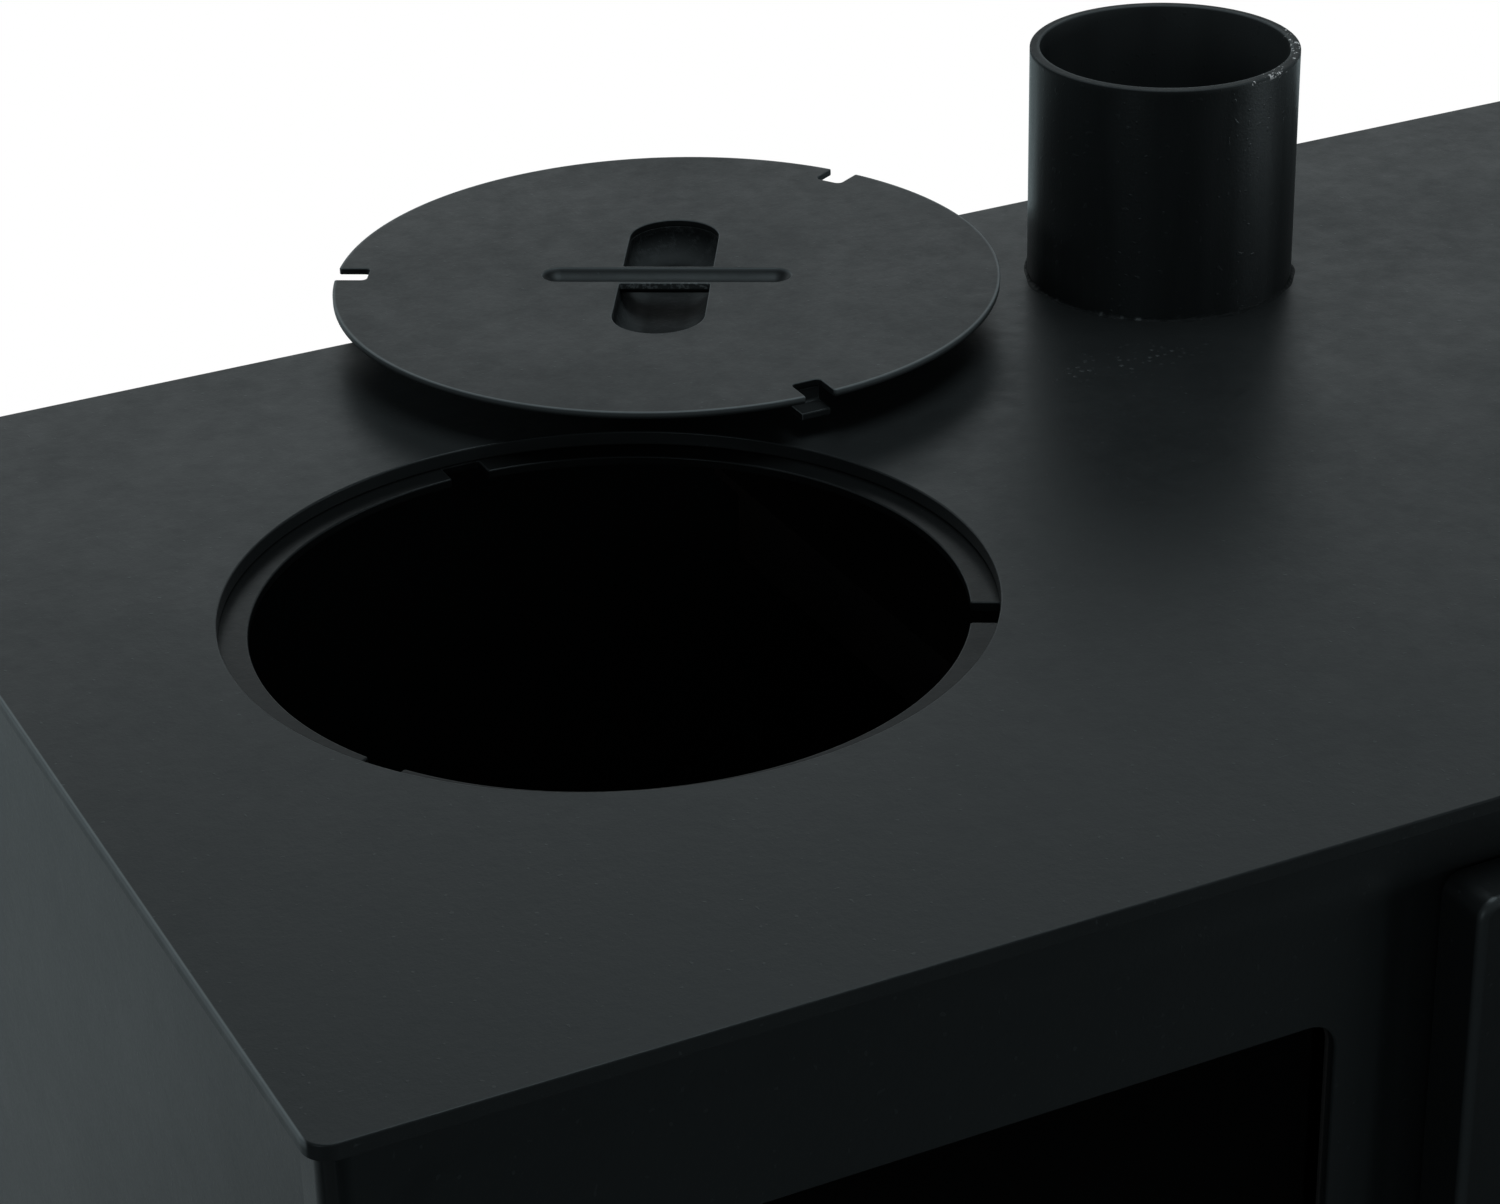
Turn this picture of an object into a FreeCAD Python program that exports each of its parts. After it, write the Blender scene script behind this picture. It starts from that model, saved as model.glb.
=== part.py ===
import FreeCAD, Part
import math
import os

V = FreeCAD.Vector

# Tent stove: a welded sheet steel firebox on two folding leg frames, with a lift-off cooking lid,
# a flue collar, a fixed window and a hinged door. Millimetres, +Z up, +X to the right seen from the
# front, -Y towards the front. The origin lies on the floor under the middle of the top plate.

# Top plate
PLATE_WIDTH = 600.0
PLATE_DEPTH = 359.0
PLATE_THICKNESS = 4.0
PLATE_CORNER = 6.0
PLATE_EDGE = 0.7
PLATE_OVERHANG = 3.5

# Firebox shell
SHEET = 2.0
BODY_HEIGHT = 290.0
BODY_BEND = 6.0
BEND_RETURN = 14.0

# Cooking hole and its seat ring
HOB_RADIUS = 95.0
HOB_MARGIN_LEFT = 51.4
HOB_MARGIN_FRONT = 87.3
SEAT_WIDTH = 7.2
RING_SHEET = 2.5
RING_FLANGE = 17.0
RING_SLOT = 10.3
RING_SLOT_ANGLES = (90.0, 210.0, 330.0)

# Lid, laid on the plate behind the hole
LID_CLEARANCE = 1.0
LID_SHEET = 2.0
LID_EDGE = 0.5
LID_HEIGHT = 13.0
LID_SHIFT_X = 86.8
LID_OVERHANG = 66.1
LID_REST_GAP = 0.2
NOTCH_WIDTH = 8.5
NOTCH_DEPTH = 9.1
NOTCH_CORNER = 2.0
NOTCH_ANGLES = (30.0, 150.0, 270.0)
HOOK_SHEET = 2.0
HOOK_DROP = 6.0
HOOK_REACH = 8.6
GRIP_ANGLE = 60.0
GRIP_SLOT_LENGTH = 83.5
GRIP_SLOT_WIDTH = 25.6
GROOVE_LENGTH = 70.8
GROOVE_WIDTH = 10.4
GROOVE_DEPTH = 3.0
GROOVE_RIM = 1.0
POCKET_SHEET = 1.5

# Flue collar
FLUE_OUTER_RADIUS = 38.05
FLUE_WALL = 2.9
FLUE_HEIGHT = 68.0
FLUE_EDGE = 0.5
FLUE_STOP = 2.0
FLUE_FROM_BACK = 66.5
LID_TO_FLUE = 7.15
BEAD_SIZE = 4.5
BEAD_FULLNESS = 0.42

# Window
WINDOW_FROM_LEFT = 40.0
WINDOW_FROM_TOP = 48.0
WINDOW_WIDTH = 198.2
WINDOW_HEIGHT = 190.0
WINDOW_CORNER = 7.0
SURROUND_SIDE = 20.4
SURROUND_TOP = 33.3
SURROUND_END = 13.8
SURROUND_RISE = 0.6
SURROUND_CORNER = 10.0
GASKET_THICKNESS = 2.0
GASKET_WIDTH = 9.0
GLASS_THICKNESS = 4.0
GLASS_OVERLAP = 11.0
RETAINER_SHEET = 2.0
RETAINER_BORDER = 25.0
STUD_INSET = 7.5
STUD_RADIUS = 2.5
STUD_CLEARANCE = 0.3
NUT_ACROSS_FLATS = 8.0
NUT_HEIGHT = 4.0
STUD_END = 1.5

# Door
DOOR_FROM_WINDOW = 25.8
DOOR_FROM_RIGHT = 27.0
DOOR_FROM_TOP = 17.5
DOOR_HEIGHT = 259.5
DOOR_PROUD = 15.9
DOOR_SHEET = 3.0
DOOR_EDGE = 5.0
DOOR_EDGE_SHARE = 0.45
DOOR_GAP = 1.0
DOORWAY_INSET = 16.0
DOORWAY_FROM_DOOR_TOP = 63.5
DOORWAY_FROM_DOOR_FOOT = 23.0
DOORWAY_CORNER = 10.0
BOARD_THICKNESS = 4.0
BOARD_CLEARANCE = 1.0
LINER_SHEET = 1.5
LINER_SCREW_INSET = 22.0
SCREW_RADIUS = 2.5
SCREW_HEAD_RADIUS = 5.0
SCREW_HEAD_HEIGHT = 3.0
ROPE_OFFSET = 2.0
ROPE_WIDTH = 9.5
SEAL_GAP = 0.3

# Door hinges
HINGE_OFFSET = 10.0
HINGE_INSET = 45.0
KNUCKLE_RADIUS = 6.0
KNUCKLE_LENGTH = 18.0
KNUCKLE_GAP = 0.3
HINGE_PIN_RADIUS = 3.0
HINGE_LEAF = 7.0
RUNNING_CLEARANCE = 0.05

# Door latch
LATCH_INSET = 32.0
SPINDLE_RADIUS = 5.0
BUSH_WALL = 3.0
BUSH_FLANGE_RADIUS = 12.0
BUSH_FLANGE = 3.0
LATCH_END_PLAY = 0.3
ARM_THICKNESS = 6.0
ARM_WIDTH = 18.0
ARM_LENGTH = 55.0
ARM_HUB_LENGTH = 5.0
GRIP_BASE_RADIUS = 7.0
GRIP_BELLY_RADIUS = 9.5
GRIP_BELLY_PLACE = 0.55
GRIP_TIP_RADIUS = 7.5
GRIP_DOME = 3.0
HANDLE_REACH = 61.0
TONGUE_THICKNESS = 5.0
TONGUE_WIDTH = 16.0
TONGUE_LENGTH = 26.0
TONGUE_CLEARANCE = 0.8
LATCH_NUT_FLATS = 16.0
LATCH_NUT_HEIGHT = 6.0
SPINDLE_END = 2.0
SPACER_WALL = 3.0

# Air control in the door's foot
AIR_SLOT_COUNT = 5
AIR_SLOT_WIDTH = 9.0
AIR_SLOT_HEIGHT = 20.0
AIR_SLOT_PITCH = 24.0
AIR_SLOT_ROUNDING = 0.9
AIR_SLOT_ABOVE_DOORWAY = 5.0
SLIDE_SHEET = 2.0
SLIDE_GAP = 0.3
SLIDE_BORDER = 8.0
SLIDE_TAB = 24.0
SLIDE_TRAVEL = 12.0
RAIL_SHEET = 2.0
RAIL_WIDTH = 4.0
RAIL_LIP = 3.0
AIR_KNOB_RADIUS = 7.0
AIR_KNOB_LENGTH = 16.0
AIR_KNOB_HEAD = 9.6
AIR_KNOB_EDGE = 1.75
AIR_KNOB_NECK_RADIUS = 4.2

# Baffle and grate
BAFFLE_FROM_LEFT = 256.5
BAFFLE_FROM_TOP = 60.5
BAFFLE_SHEET = 3.0
BAFFLE_LIP = 20.0
BAFFLE_CLEARANCE = 1.0
LEDGE_SIZE = 16.0
LEDGE_SHEET = 2.0
LEDGE_END_GAP = 12.0
GRATE_THICKNESS = 6.0
GRATE_MARGIN = 22.0
GRATE_BAR = 10.0
GRATE_SLOT = 12.0
GRATE_ROWS = 3
GRATE_RAIL_HEIGHT = 25.0
GRATE_RAIL_SHEET = 3.0
GRATE_RAIL_INSET = 30.0

# Folding legs
LEG_HEIGHT = 150.0
LEG_SPLAY = 6.0
LEG_RADIUS = 10.0
LEG_WALL = 2.0
LEG_PIVOT_DROP = 17.0
LEG_PIVOT_INSET = 45.0
LEG_TOP = 10.0
LEG_FROM_EDGE = 32.0
LEG_SIDE_GAP = 0.5
LEG_PIN_RADIUS = 4.0
EAR_SHEET = 3.0
EAR_HALF_WIDTH = 13.0
STOP_HEIGHT = 12.0
STOP_GAP = 0.3
CROSSBAR_RADIUS = 7.0
CROSSBAR_HEIGHT = 46.0
FOOT_WALL = 2.5
FOOT_HEIGHT = 20.0
FOOT_SOLE = 5.0
PIN_HEAD_RADIUS = 6.5
PIN_HEAD = 2.5

# Places worked out from the sizes above
BODY_BOTTOM = LEG_HEIGHT
BODY_TOP = BODY_BOTTOM + BODY_HEIGHT
PLATE_TOP = BODY_TOP + PLATE_THICKNESS
PLATE_LEFT = -PLATE_WIDTH / 2
PLATE_FRONT = -PLATE_DEPTH / 2
PLATE_BACK = PLATE_DEPTH / 2
BODY_LEFT = PLATE_LEFT + PLATE_OVERHANG
BODY_RIGHT = -BODY_LEFT
BODY_FRONT = PLATE_FRONT + PLATE_OVERHANG
BODY_BACK = PLATE_BACK - PLATE_OVERHANG
INSIDE_LEFT = BODY_LEFT + SHEET
INSIDE_RIGHT = BODY_RIGHT - SHEET
INSIDE_FRONT = BODY_FRONT + SHEET
INSIDE_BACK = BODY_BACK - SHEET
INSIDE_FLOOR = BODY_BOTTOM + SHEET

HOB_X = PLATE_LEFT + HOB_MARGIN_LEFT + HOB_RADIUS
HOB_Y = PLATE_FRONT + HOB_MARGIN_FRONT + HOB_RADIUS
RING_INNER = HOB_RADIUS - SEAT_WIDTH
RING_OUTER = HOB_RADIUS + RING_FLANGE

LID_RADIUS = HOB_RADIUS - LID_CLEARANCE
LID_X = HOB_X + LID_SHIFT_X
LID_Y = PLATE_BACK + LID_OVERHANG - LID_RADIUS
LID_TOP = PLATE_TOP + LID_HEIGHT
NOTCH_ROOT = LID_RADIUS - NOTCH_DEPTH

FLUE_X = LID_X + LID_RADIUS + LID_TO_FLUE + FLUE_OUTER_RADIUS
FLUE_Y = PLATE_BACK - FLUE_FROM_BACK
FLUE_BORE = FLUE_OUTER_RADIUS - FLUE_WALL

WINDOW_LEFT = PLATE_LEFT + WINDOW_FROM_LEFT
WINDOW_RIGHT = WINDOW_LEFT + WINDOW_WIDTH
WINDOW_TOP = PLATE_TOP - WINDOW_FROM_TOP
WINDOW_FOOT = WINDOW_TOP - WINDOW_HEIGHT
WINDOW = (WINDOW_LEFT, WINDOW_RIGHT, WINDOW_FOOT, WINDOW_TOP)
GLASS_FRONT = INSIDE_FRONT + GASKET_THICKNESS
GLASS_BACK = GLASS_FRONT + GLASS_THICKNESS
RETAINER_BACK = GLASS_BACK + RETAINER_SHEET

DOOR_LEFT = WINDOW_RIGHT + DOOR_FROM_WINDOW
DOOR_RIGHT = PLATE_LEFT + PLATE_WIDTH - DOOR_FROM_RIGHT
DOOR_TOP = PLATE_TOP - DOOR_FROM_TOP
DOOR_FOOT = DOOR_TOP - DOOR_HEIGHT
DOOR = (DOOR_LEFT, DOOR_RIGHT, DOOR_FOOT, DOOR_TOP)
DOOR_FACE = BODY_FRONT - DOOR_PROUD
DOOR_RIM = BODY_FRONT - DOOR_GAP
BOARD_FRONT = DOOR_FACE + DOOR_SHEET
LINER_FRONT = BOARD_FRONT + BOARD_THICKNESS
LINER_BACK = LINER_FRONT + LINER_SHEET
DOORWAY = (DOOR_LEFT + DOORWAY_INSET, DOOR_RIGHT - DOORWAY_INSET,
           DOOR_FOOT + DOORWAY_FROM_DOOR_FOOT, DOOR_TOP - DOORWAY_FROM_DOOR_TOP)

HINGE_X = DOOR_RIGHT + HINGE_OFFSET
HINGE_Y = (DOOR_FACE + DOOR_RIM) / 2
HINGE_HEIGHTS = (DOOR_FOOT + HINGE_INSET, DOOR_TOP - HINGE_INSET)

LATCH_X = DOOR_LEFT + LATCH_INSET
LATCH_Z = (DOOR_FOOT + DOOR_TOP) / 2
BUSH_BORE = SPINDLE_RADIUS + RUNNING_CLEARANCE
BUSH_OUTER = SPINDLE_RADIUS + BUSH_WALL
BUSH_FACE = DOOR_FACE - BUSH_FLANGE
HUB_FACE = BUSH_FACE - LATCH_END_PLAY
ARM_BACK = HUB_FACE - ARM_HUB_LENGTH
ARM_FRONT = ARM_BACK - ARM_THICKNESS
GRIP_TIP = PLATE_FRONT - HANDLE_REACH
TONGUE_FRONT = INSIDE_FRONT + TONGUE_CLEARANCE
TONGUE_BACK = TONGUE_FRONT + TONGUE_THICKNESS
LATCH_NUT_BACK = TONGUE_BACK + LATCH_NUT_HEIGHT

AIR_X = (DOOR_LEFT + DOOR_RIGHT) / 2
AIR_FOOT = DOORWAY[2] + AIR_SLOT_ABOVE_DOORWAY
AIR_TOP = AIR_FOOT + AIR_SLOT_HEIGHT
AIR_HALF_ROW = (AIR_SLOT_COUNT - 1) / 2 * AIR_SLOT_PITCH
SLIDE_BACK = DOOR_FACE - SLIDE_GAP
SLIDE_FRONT = SLIDE_BACK - SLIDE_SHEET
SLIDE_LEFT = AIR_X - AIR_HALF_ROW - AIR_SLOT_WIDTH / 2 - SLIDE_BORDER
SLIDE_RIGHT = AIR_X + AIR_HALF_ROW + AIR_SLOT_WIDTH / 2 + SLIDE_TAB
SLIDE_FOOT = AIR_FOOT - SLIDE_BORDER
SLIDE_TOP = AIR_TOP + SLIDE_BORDER

BAFFLE_TOP = PLATE_TOP - BAFFLE_FROM_TOP
BAFFLE_LEFT = PLATE_LEFT + BAFFLE_FROM_LEFT
BAFFLE_UNDER = BAFFLE_TOP - BAFFLE_SHEET

PIVOT_X = BODY_RIGHT - LEG_PIVOT_INSET
PIVOT_Z = BODY_BOTTOM - LEG_PIVOT_DROP
LEG_Y = BODY_BACK - LEG_FROM_EDGE
LEG_REACH = PIVOT_Z / math.cos(math.radians(LEG_SPLAY))

PARTS_FOLDER = "parts"


def box(x0, x1, y0, y1, z0, z1):
    return Part.makeBox(x1 - x0, y1 - y0, z1 - z0, V(x0, y0, z0))


def rod_x(radius, x0, x1, y, z):
    return Part.makeCylinder(radius, x1 - x0, V(x0, y, z), V(1, 0, 0))


def rod_y(radius, y0, y1, x, z):
    return Part.makeCylinder(radius, y1 - y0, V(x, y0, z), V(0, 1, 0))


def rod_z(radius, z0, z1, x, y):
    return Part.makeCylinder(radius, z1 - z0, V(x, y, z0), V(0, 0, 1))


def prism(points, depth):
    """A straight-sided outline drawn out along the vector depth."""
    return Part.Face(Part.makePolygon(points + points[:1])).extrude(depth)


def rounded_outline(a0, a1, b0, b1, radius, place):
    """A closed rectangle with round corners; place turns two flat coordinates into a point."""
    corners = ((a1, b0, -90), (a1, b1, 0), (a0, b1, 90), (a0, b0, 180))
    inward = ((-1, 1), (-1, -1), (1, -1), (1, 1))
    arcs = []
    for (a, b, start), (da, db) in zip(corners, inward):
        centre = (a + da * radius, b + db * radius)
        ends = []
        for turn in (0, 45, 90):
            angle = math.radians(start + turn)
            ends.append(place(centre[0] + radius * math.cos(angle), centre[1] + radius * math.sin(angle)))
        arcs.append(ends)
    edges = []
    for index, ends in enumerate(arcs):
        edges.append(Part.Arc(*ends).toShape())
        edges.append(Part.LineSegment(ends[2], arcs[(index + 1) % 4][0]).toShape())
    return Part.Wire(edges)


def upright_sheet(frame, radius, y0, y1, grow=0.0):
    """A round-cornered sheet facing the front, frame = left, right, foot, top, widened by grow."""
    left, right, foot, top = frame
    wire = rounded_outline(left - grow, right + grow, foot - grow, top + grow, radius + grow,
                           lambda a, b: V(a, y0, b))
    return Part.Face(wire).extrude(V(0, y1 - y0, 0))


def flat_sheet(x0, x1, y0, y1, radius, z0, z1):
    """A round-cornered sheet lying flat."""
    wire = rounded_outline(x0, x1, y0, y1, radius, lambda a, b: V(a, b, z0))
    return Part.Face(wire).extrude(V(0, 0, z1 - z0))


def stadium(length, width, z0, z1):
    """A flat bar with round ends, along X, centred on the Z axis."""
    half = (length - width) / 2
    bar = box(-half, half, -width / 2, width / 2, z0, z1)
    ends = [rod_z(width / 2, z0, z1, x, 0) for x in (-half, half)]
    return bar.multiFuse(ends).removeSplitter()


def hexagon_y(across_flats, y0, y1, x, z):
    corner = across_flats / math.sqrt(3)
    points = []
    for step in range(6):
        angle = math.radians(60 * step)
        points.append(V(x + corner * math.cos(angle), y0, z + corner * math.sin(angle)))
    return prism(points, V(0, y1 - y0, 0))


def turned(shape, angle, centre, axis=V(0, 0, 1)):
    """A copy of shape turned about an axis through centre."""
    copy = shape.copy()
    copy.rotate(centre, axis, angle)
    return copy


def moved(shape, x, y, z=0.0):
    copy = shape.copy()
    copy.translate(V(x, y, z))
    return copy


def mirrored_x(shape):
    return shape.mirror(V(0, 0, 0), V(1, 0, 0))


def edges_at(shape, height):
    """The edges of shape that lie wholly at one height."""
    found = []
    for edge in shape.Edges:
        low = edge.BoundBox.ZMin
        high = edge.BoundBox.ZMax
        if abs(low - height) < 1e-6 and abs(high - height) < 1e-6:
            found.append(edge)
    return found


def make_top_plate():
    plate = flat_sheet(PLATE_LEFT, -PLATE_LEFT, PLATE_FRONT, PLATE_BACK, PLATE_CORNER, BODY_TOP, PLATE_TOP)
    hob = rod_z(HOB_RADIUS, BODY_TOP, PLATE_TOP, HOB_X, HOB_Y)
    plate = plate.cut(hob)
    plate = plate.makeFillet(PLATE_EDGE, edges_at(plate, PLATE_TOP))
    return plate.cut(rod_z(FLUE_BORE - FLUE_STOP, BODY_TOP, PLATE_TOP, FLUE_X, FLUE_Y))


def make_hob_ring():
    under = BODY_TOP - RING_SHEET
    ring = rod_z(RING_OUTER, under, BODY_TOP, 0, 0)
    ring = ring.cut(rod_z(RING_INNER, under, BODY_TOP, 0, 0))
    slot = box(RING_INNER - SEAT_WIDTH, HOB_RADIUS, -RING_SLOT / 2, RING_SLOT / 2, under, BODY_TOP)
    for angle in RING_SLOT_ANGLES:
        ring = ring.cut(turned(slot, angle, V(0, 0, 0)))
    return moved(ring, HOB_X, HOB_Y)


def make_flue_collar():
    tube = rod_z(FLUE_OUTER_RADIUS, PLATE_TOP, PLATE_TOP + FLUE_HEIGHT, FLUE_X, FLUE_Y)
    tube = tube.cut(rod_z(FLUE_BORE, PLATE_TOP, PLATE_TOP + FLUE_HEIGHT, FLUE_X, FLUE_Y))
    return tube.makeFillet(FLUE_EDGE, edges_at(tube, PLATE_TOP + FLUE_HEIGHT))


def make_flue_weld_bead():
    """A hollow-faced fillet of weld between the tube's wall and the plate."""
    foot = V(FLUE_OUTER_RADIUS, 0, 0)
    toe = V(FLUE_OUTER_RADIUS + BEAD_SIZE, 0, 0)
    head = V(FLUE_OUTER_RADIUS, 0, BEAD_SIZE)
    rise = BEAD_SIZE * BEAD_FULLNESS
    middle = V(FLUE_OUTER_RADIUS + rise, 0, rise)
    edges = [Part.LineSegment(foot, toe).toShape(), Part.Arc(toe, middle, head).toShape(),
             Part.LineSegment(head, foot).toShape()]
    bead = Part.Face(Part.Wire(edges)).revolve(V(0, 0, 0), V(0, 0, 1), 360)
    return moved(bead, FLUE_X, FLUE_Y, PLATE_TOP)


def make_front_panel():
    """One sheet bent round both front corners of the firebox, with the window and the doorway cut out."""
    outer = flat_sheet(BODY_LEFT, BODY_RIGHT, BODY_FRONT, BODY_BACK, BODY_BEND, BODY_BOTTOM, BODY_TOP)
    inner = flat_sheet(INSIDE_LEFT, INSIDE_RIGHT, INSIDE_FRONT, INSIDE_BACK, BODY_BEND - SHEET,
                       BODY_BOTTOM, BODY_TOP)
    front = box(BODY_LEFT, BODY_RIGHT, BODY_FRONT, BODY_FRONT + BEND_RETURN, BODY_BOTTOM, BODY_TOP)
    panel = outer.cut(inner).common(front)
    surround = (WINDOW_LEFT - SURROUND_SIDE, WINDOW_RIGHT + SURROUND_END,
                WINDOW_FOOT - SURROUND_END, WINDOW_TOP + SURROUND_TOP)
    panel = panel.fuse(upright_sheet(surround, SURROUND_CORNER, BODY_FRONT - SURROUND_RISE, BODY_FRONT))
    panel = panel.cut(upright_sheet(WINDOW, WINDOW_CORNER, BODY_FRONT - SURROUND_RISE, INSIDE_FRONT))
    panel = panel.cut(upright_sheet(DOORWAY, DOORWAY_CORNER, BODY_FRONT, INSIDE_FRONT))
    return panel.removeSplitter()


def make_side_panel():
    return box(BODY_LEFT, INSIDE_LEFT, BODY_FRONT + BEND_RETURN, INSIDE_BACK, BODY_BOTTOM, BODY_TOP)


def make_back_panel():
    return box(BODY_LEFT, BODY_RIGHT, INSIDE_BACK, BODY_BACK, BODY_BOTTOM, BODY_TOP)


def make_floor_panel():
    floor = flat_sheet(INSIDE_LEFT, INSIDE_RIGHT, INSIDE_FRONT, INSIDE_BACK, BODY_BEND - SHEET,
                       BODY_BOTTOM, INSIDE_FLOOR)
    back = box(INSIDE_LEFT, INSIDE_RIGHT, 0, INSIDE_BACK, BODY_BOTTOM, INSIDE_FLOOR)
    return floor.fuse(back).removeSplitter()


def make_window_glass():
    return upright_sheet(WINDOW, WINDOW_CORNER, GLASS_FRONT, GLASS_BACK, GLASS_OVERLAP)


def make_window_gasket():
    ring = upright_sheet(WINDOW, WINDOW_CORNER, INSIDE_FRONT, GLASS_FRONT, GASKET_WIDTH)
    return ring.cut(upright_sheet(WINDOW, WINDOW_CORNER, INSIDE_FRONT, GLASS_FRONT))


def stud_places():
    reach = RETAINER_BORDER - STUD_INSET
    columns = (WINDOW_LEFT - reach, (WINDOW_LEFT + WINDOW_RIGHT) / 2, WINDOW_RIGHT + reach)
    return [(x, z) for x in columns for z in (WINDOW_FOOT - reach, WINDOW_TOP + reach)]


def make_window_retainer():
    ring = upright_sheet(WINDOW, WINDOW_CORNER, GLASS_BACK, RETAINER_BACK, RETAINER_BORDER)
    ring = ring.cut(upright_sheet(WINDOW, WINDOW_CORNER, GLASS_BACK, RETAINER_BACK))
    for x, z in stud_places():
        ring = ring.cut(rod_y(STUD_RADIUS + STUD_CLEARANCE, GLASS_BACK, RETAINER_BACK, x, z))
    return ring


def make_window_studs():
    end = RETAINER_BACK + NUT_HEIGHT + STUD_END
    return Part.makeCompound([rod_y(STUD_RADIUS, INSIDE_FRONT, end, x, z) for x, z in stud_places()])


def make_window_nuts():
    nuts = []
    for x, z in stud_places():
        nut = hexagon_y(NUT_ACROSS_FLATS, RETAINER_BACK, RETAINER_BACK + NUT_HEIGHT, x, z)
        nuts.append(nut.cut(rod_y(STUD_RADIUS, RETAINER_BACK, RETAINER_BACK + NUT_HEIGHT, x, z)))
    return Part.makeCompound(nuts)


def make_baffle_plate():
    right = INSIDE_RIGHT - BAFFLE_CLEARANCE
    front = RETAINER_BACK + BAFFLE_CLEARANCE
    back = INSIDE_BACK - BAFFLE_CLEARANCE
    shelf = box(BAFFLE_LEFT, right, front, back, BAFFLE_UNDER, BAFFLE_TOP)
    lip = box(BAFFLE_LEFT, BAFFLE_LEFT + BAFFLE_SHEET, front + LEDGE_SIZE, back - LEDGE_SIZE,
              BAFFLE_UNDER - BAFFLE_LIP, BAFFLE_UNDER)
    return shelf.fuse(lip).removeSplitter()


def make_baffle_ledges():
    left = BAFFLE_LEFT + LEDGE_END_GAP
    right = INSIDE_RIGHT - LEDGE_END_GAP
    foot = BAFFLE_UNDER - LEDGE_SIZE
    wall = box(left, right, INSIDE_BACK - LEDGE_SHEET, INSIDE_BACK, foot, BAFFLE_UNDER)
    shelf = box(left, right, INSIDE_BACK - LEDGE_SIZE, INSIDE_BACK, BAFFLE_UNDER - LEDGE_SHEET, BAFFLE_UNDER)
    rear = wall.fuse(shelf).removeSplitter()
    return Part.makeCompound([rear, rear.mirror(V(0, 0, 0), V(0, 1, 0))])


def make_fire_grate():
    left = INSIDE_LEFT + GRATE_MARGIN
    front = INSIDE_FRONT + GRATE_MARGIN
    foot = INSIDE_FLOOR + GRATE_RAIL_HEIGHT
    grate = box(left, -left, front, -front, foot, foot + GRATE_THICKNESS)
    pitch = GRATE_SLOT + GRATE_BAR
    columns = int((-2 * left - GRATE_BAR) // pitch)
    row_depth = (-2 * front - GRATE_BAR) / GRATE_ROWS
    start = -(columns * pitch - GRATE_BAR) / 2
    slots = []
    for column in range(columns):
        x = start + column * pitch
        for row in range(GRATE_ROWS):
            y = front + GRATE_BAR + row * row_depth
            slots.append(box(x, x + GRATE_SLOT, y, y + row_depth - GRATE_BAR, foot, foot + GRATE_THICKNESS))
    return grate.cut(Part.makeCompound(slots))


def make_grate_rails():
    left = INSIDE_LEFT + GRATE_MARGIN
    back = INSIDE_BACK - GRATE_MARGIN - GRATE_RAIL_INSET
    top = INSIDE_FLOOR + GRATE_RAIL_HEIGHT
    web = box(left, -left, back - GRATE_RAIL_SHEET, back, INSIDE_FLOOR, top)
    flange = box(left, -left, back - GRATE_RAIL_HEIGHT, back, top - GRATE_RAIL_SHEET, top)
    rear = web.fuse(flange).removeSplitter()
    return Part.makeCompound([rear, rear.mirror(V(0, 0, 0), V(0, 1, 0))])


def make_body_hinge_knuckles():
    """The lower half of each hinge, on a leaf that stands out from the front panel."""
    knuckles = []
    for z in HINGE_HEIGHTS:
        low = z - KNUCKLE_LENGTH
        leaf = box(HINGE_X - HINGE_LEAF / 2, HINGE_X + HINGE_LEAF / 2, HINGE_Y, BODY_FRONT, low, z)
        barrel = rod_z(KNUCKLE_RADIUS, low, z, HINGE_X, HINGE_Y)
        knuckles.append(leaf.fuse(barrel).cut(rod_z(HINGE_PIN_RADIUS, low, z, HINGE_X, HINGE_Y)))
    return Part.makeCompound(knuckles)


def make_hinge_pins():
    pins = []
    for z in HINGE_HEIGHTS:
        pins.append(rod_z(HINGE_PIN_RADIUS, z - KNUCKLE_LENGTH, z + KNUCKLE_LENGTH, HINGE_X, HINGE_Y))
    return Part.makeCompound(pins)


def make_door_hinge_knuckles():
    """The upper half of each hinge, on a leaf that stands out from the door's right side."""
    knuckles = []
    for z in HINGE_HEIGHTS:
        low = z + KNUCKLE_GAP
        high = low + KNUCKLE_LENGTH
        leaf = box(DOOR_RIGHT, HINGE_X, HINGE_Y - HINGE_LEAF / 2, HINGE_Y + HINGE_LEAF / 2, low, high)
        barrel = rod_z(KNUCKLE_RADIUS, low, high, HINGE_X, HINGE_Y)
        bore = rod_z(HINGE_PIN_RADIUS + RUNNING_CLEARANCE, low, high, HINGE_X, HINGE_Y)
        knuckles.append(leaf.fuse(barrel).cut(bore))
    return Part.makeCompound(knuckles)


def air_slots(y0, y1):
    slots = []
    for index in range(AIR_SLOT_COUNT):
        x = AIR_X - AIR_HALF_ROW + index * AIR_SLOT_PITCH
        half = AIR_SLOT_WIDTH / 2
        slots.append(upright_sheet((x - half, x + half, AIR_FOOT, AIR_TOP), half * AIR_SLOT_ROUNDING, y0, y1))
    return slots


def make_door_pan():
    """A shallow pan whose face edge is rounded by a little less than its corners."""
    pan = upright_sheet(DOOR, DOOR_EDGE, DOOR_FACE, DOOR_RIM)
    face = [edge for edge in pan.Edges if abs(edge.BoundBox.YMax - DOOR_FACE) < 1e-6]
    pan = pan.makeFillet(min(DOOR_EDGE, DOOR_PROUD - DOOR_GAP) * DOOR_EDGE_SHARE, face)
    hollow = upright_sheet(DOOR, DOOR_EDGE, BOARD_FRONT, DOOR_RIM, -DOOR_SHEET)
    pan = pan.cut(hollow)
    pan = pan.cut(rod_y(BUSH_OUTER, DOOR_FACE, BOARD_FRONT, LATCH_X, LATCH_Z))
    return pan.cut(Part.makeCompound(air_slots(DOOR_FACE, BOARD_FRONT)))


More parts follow.
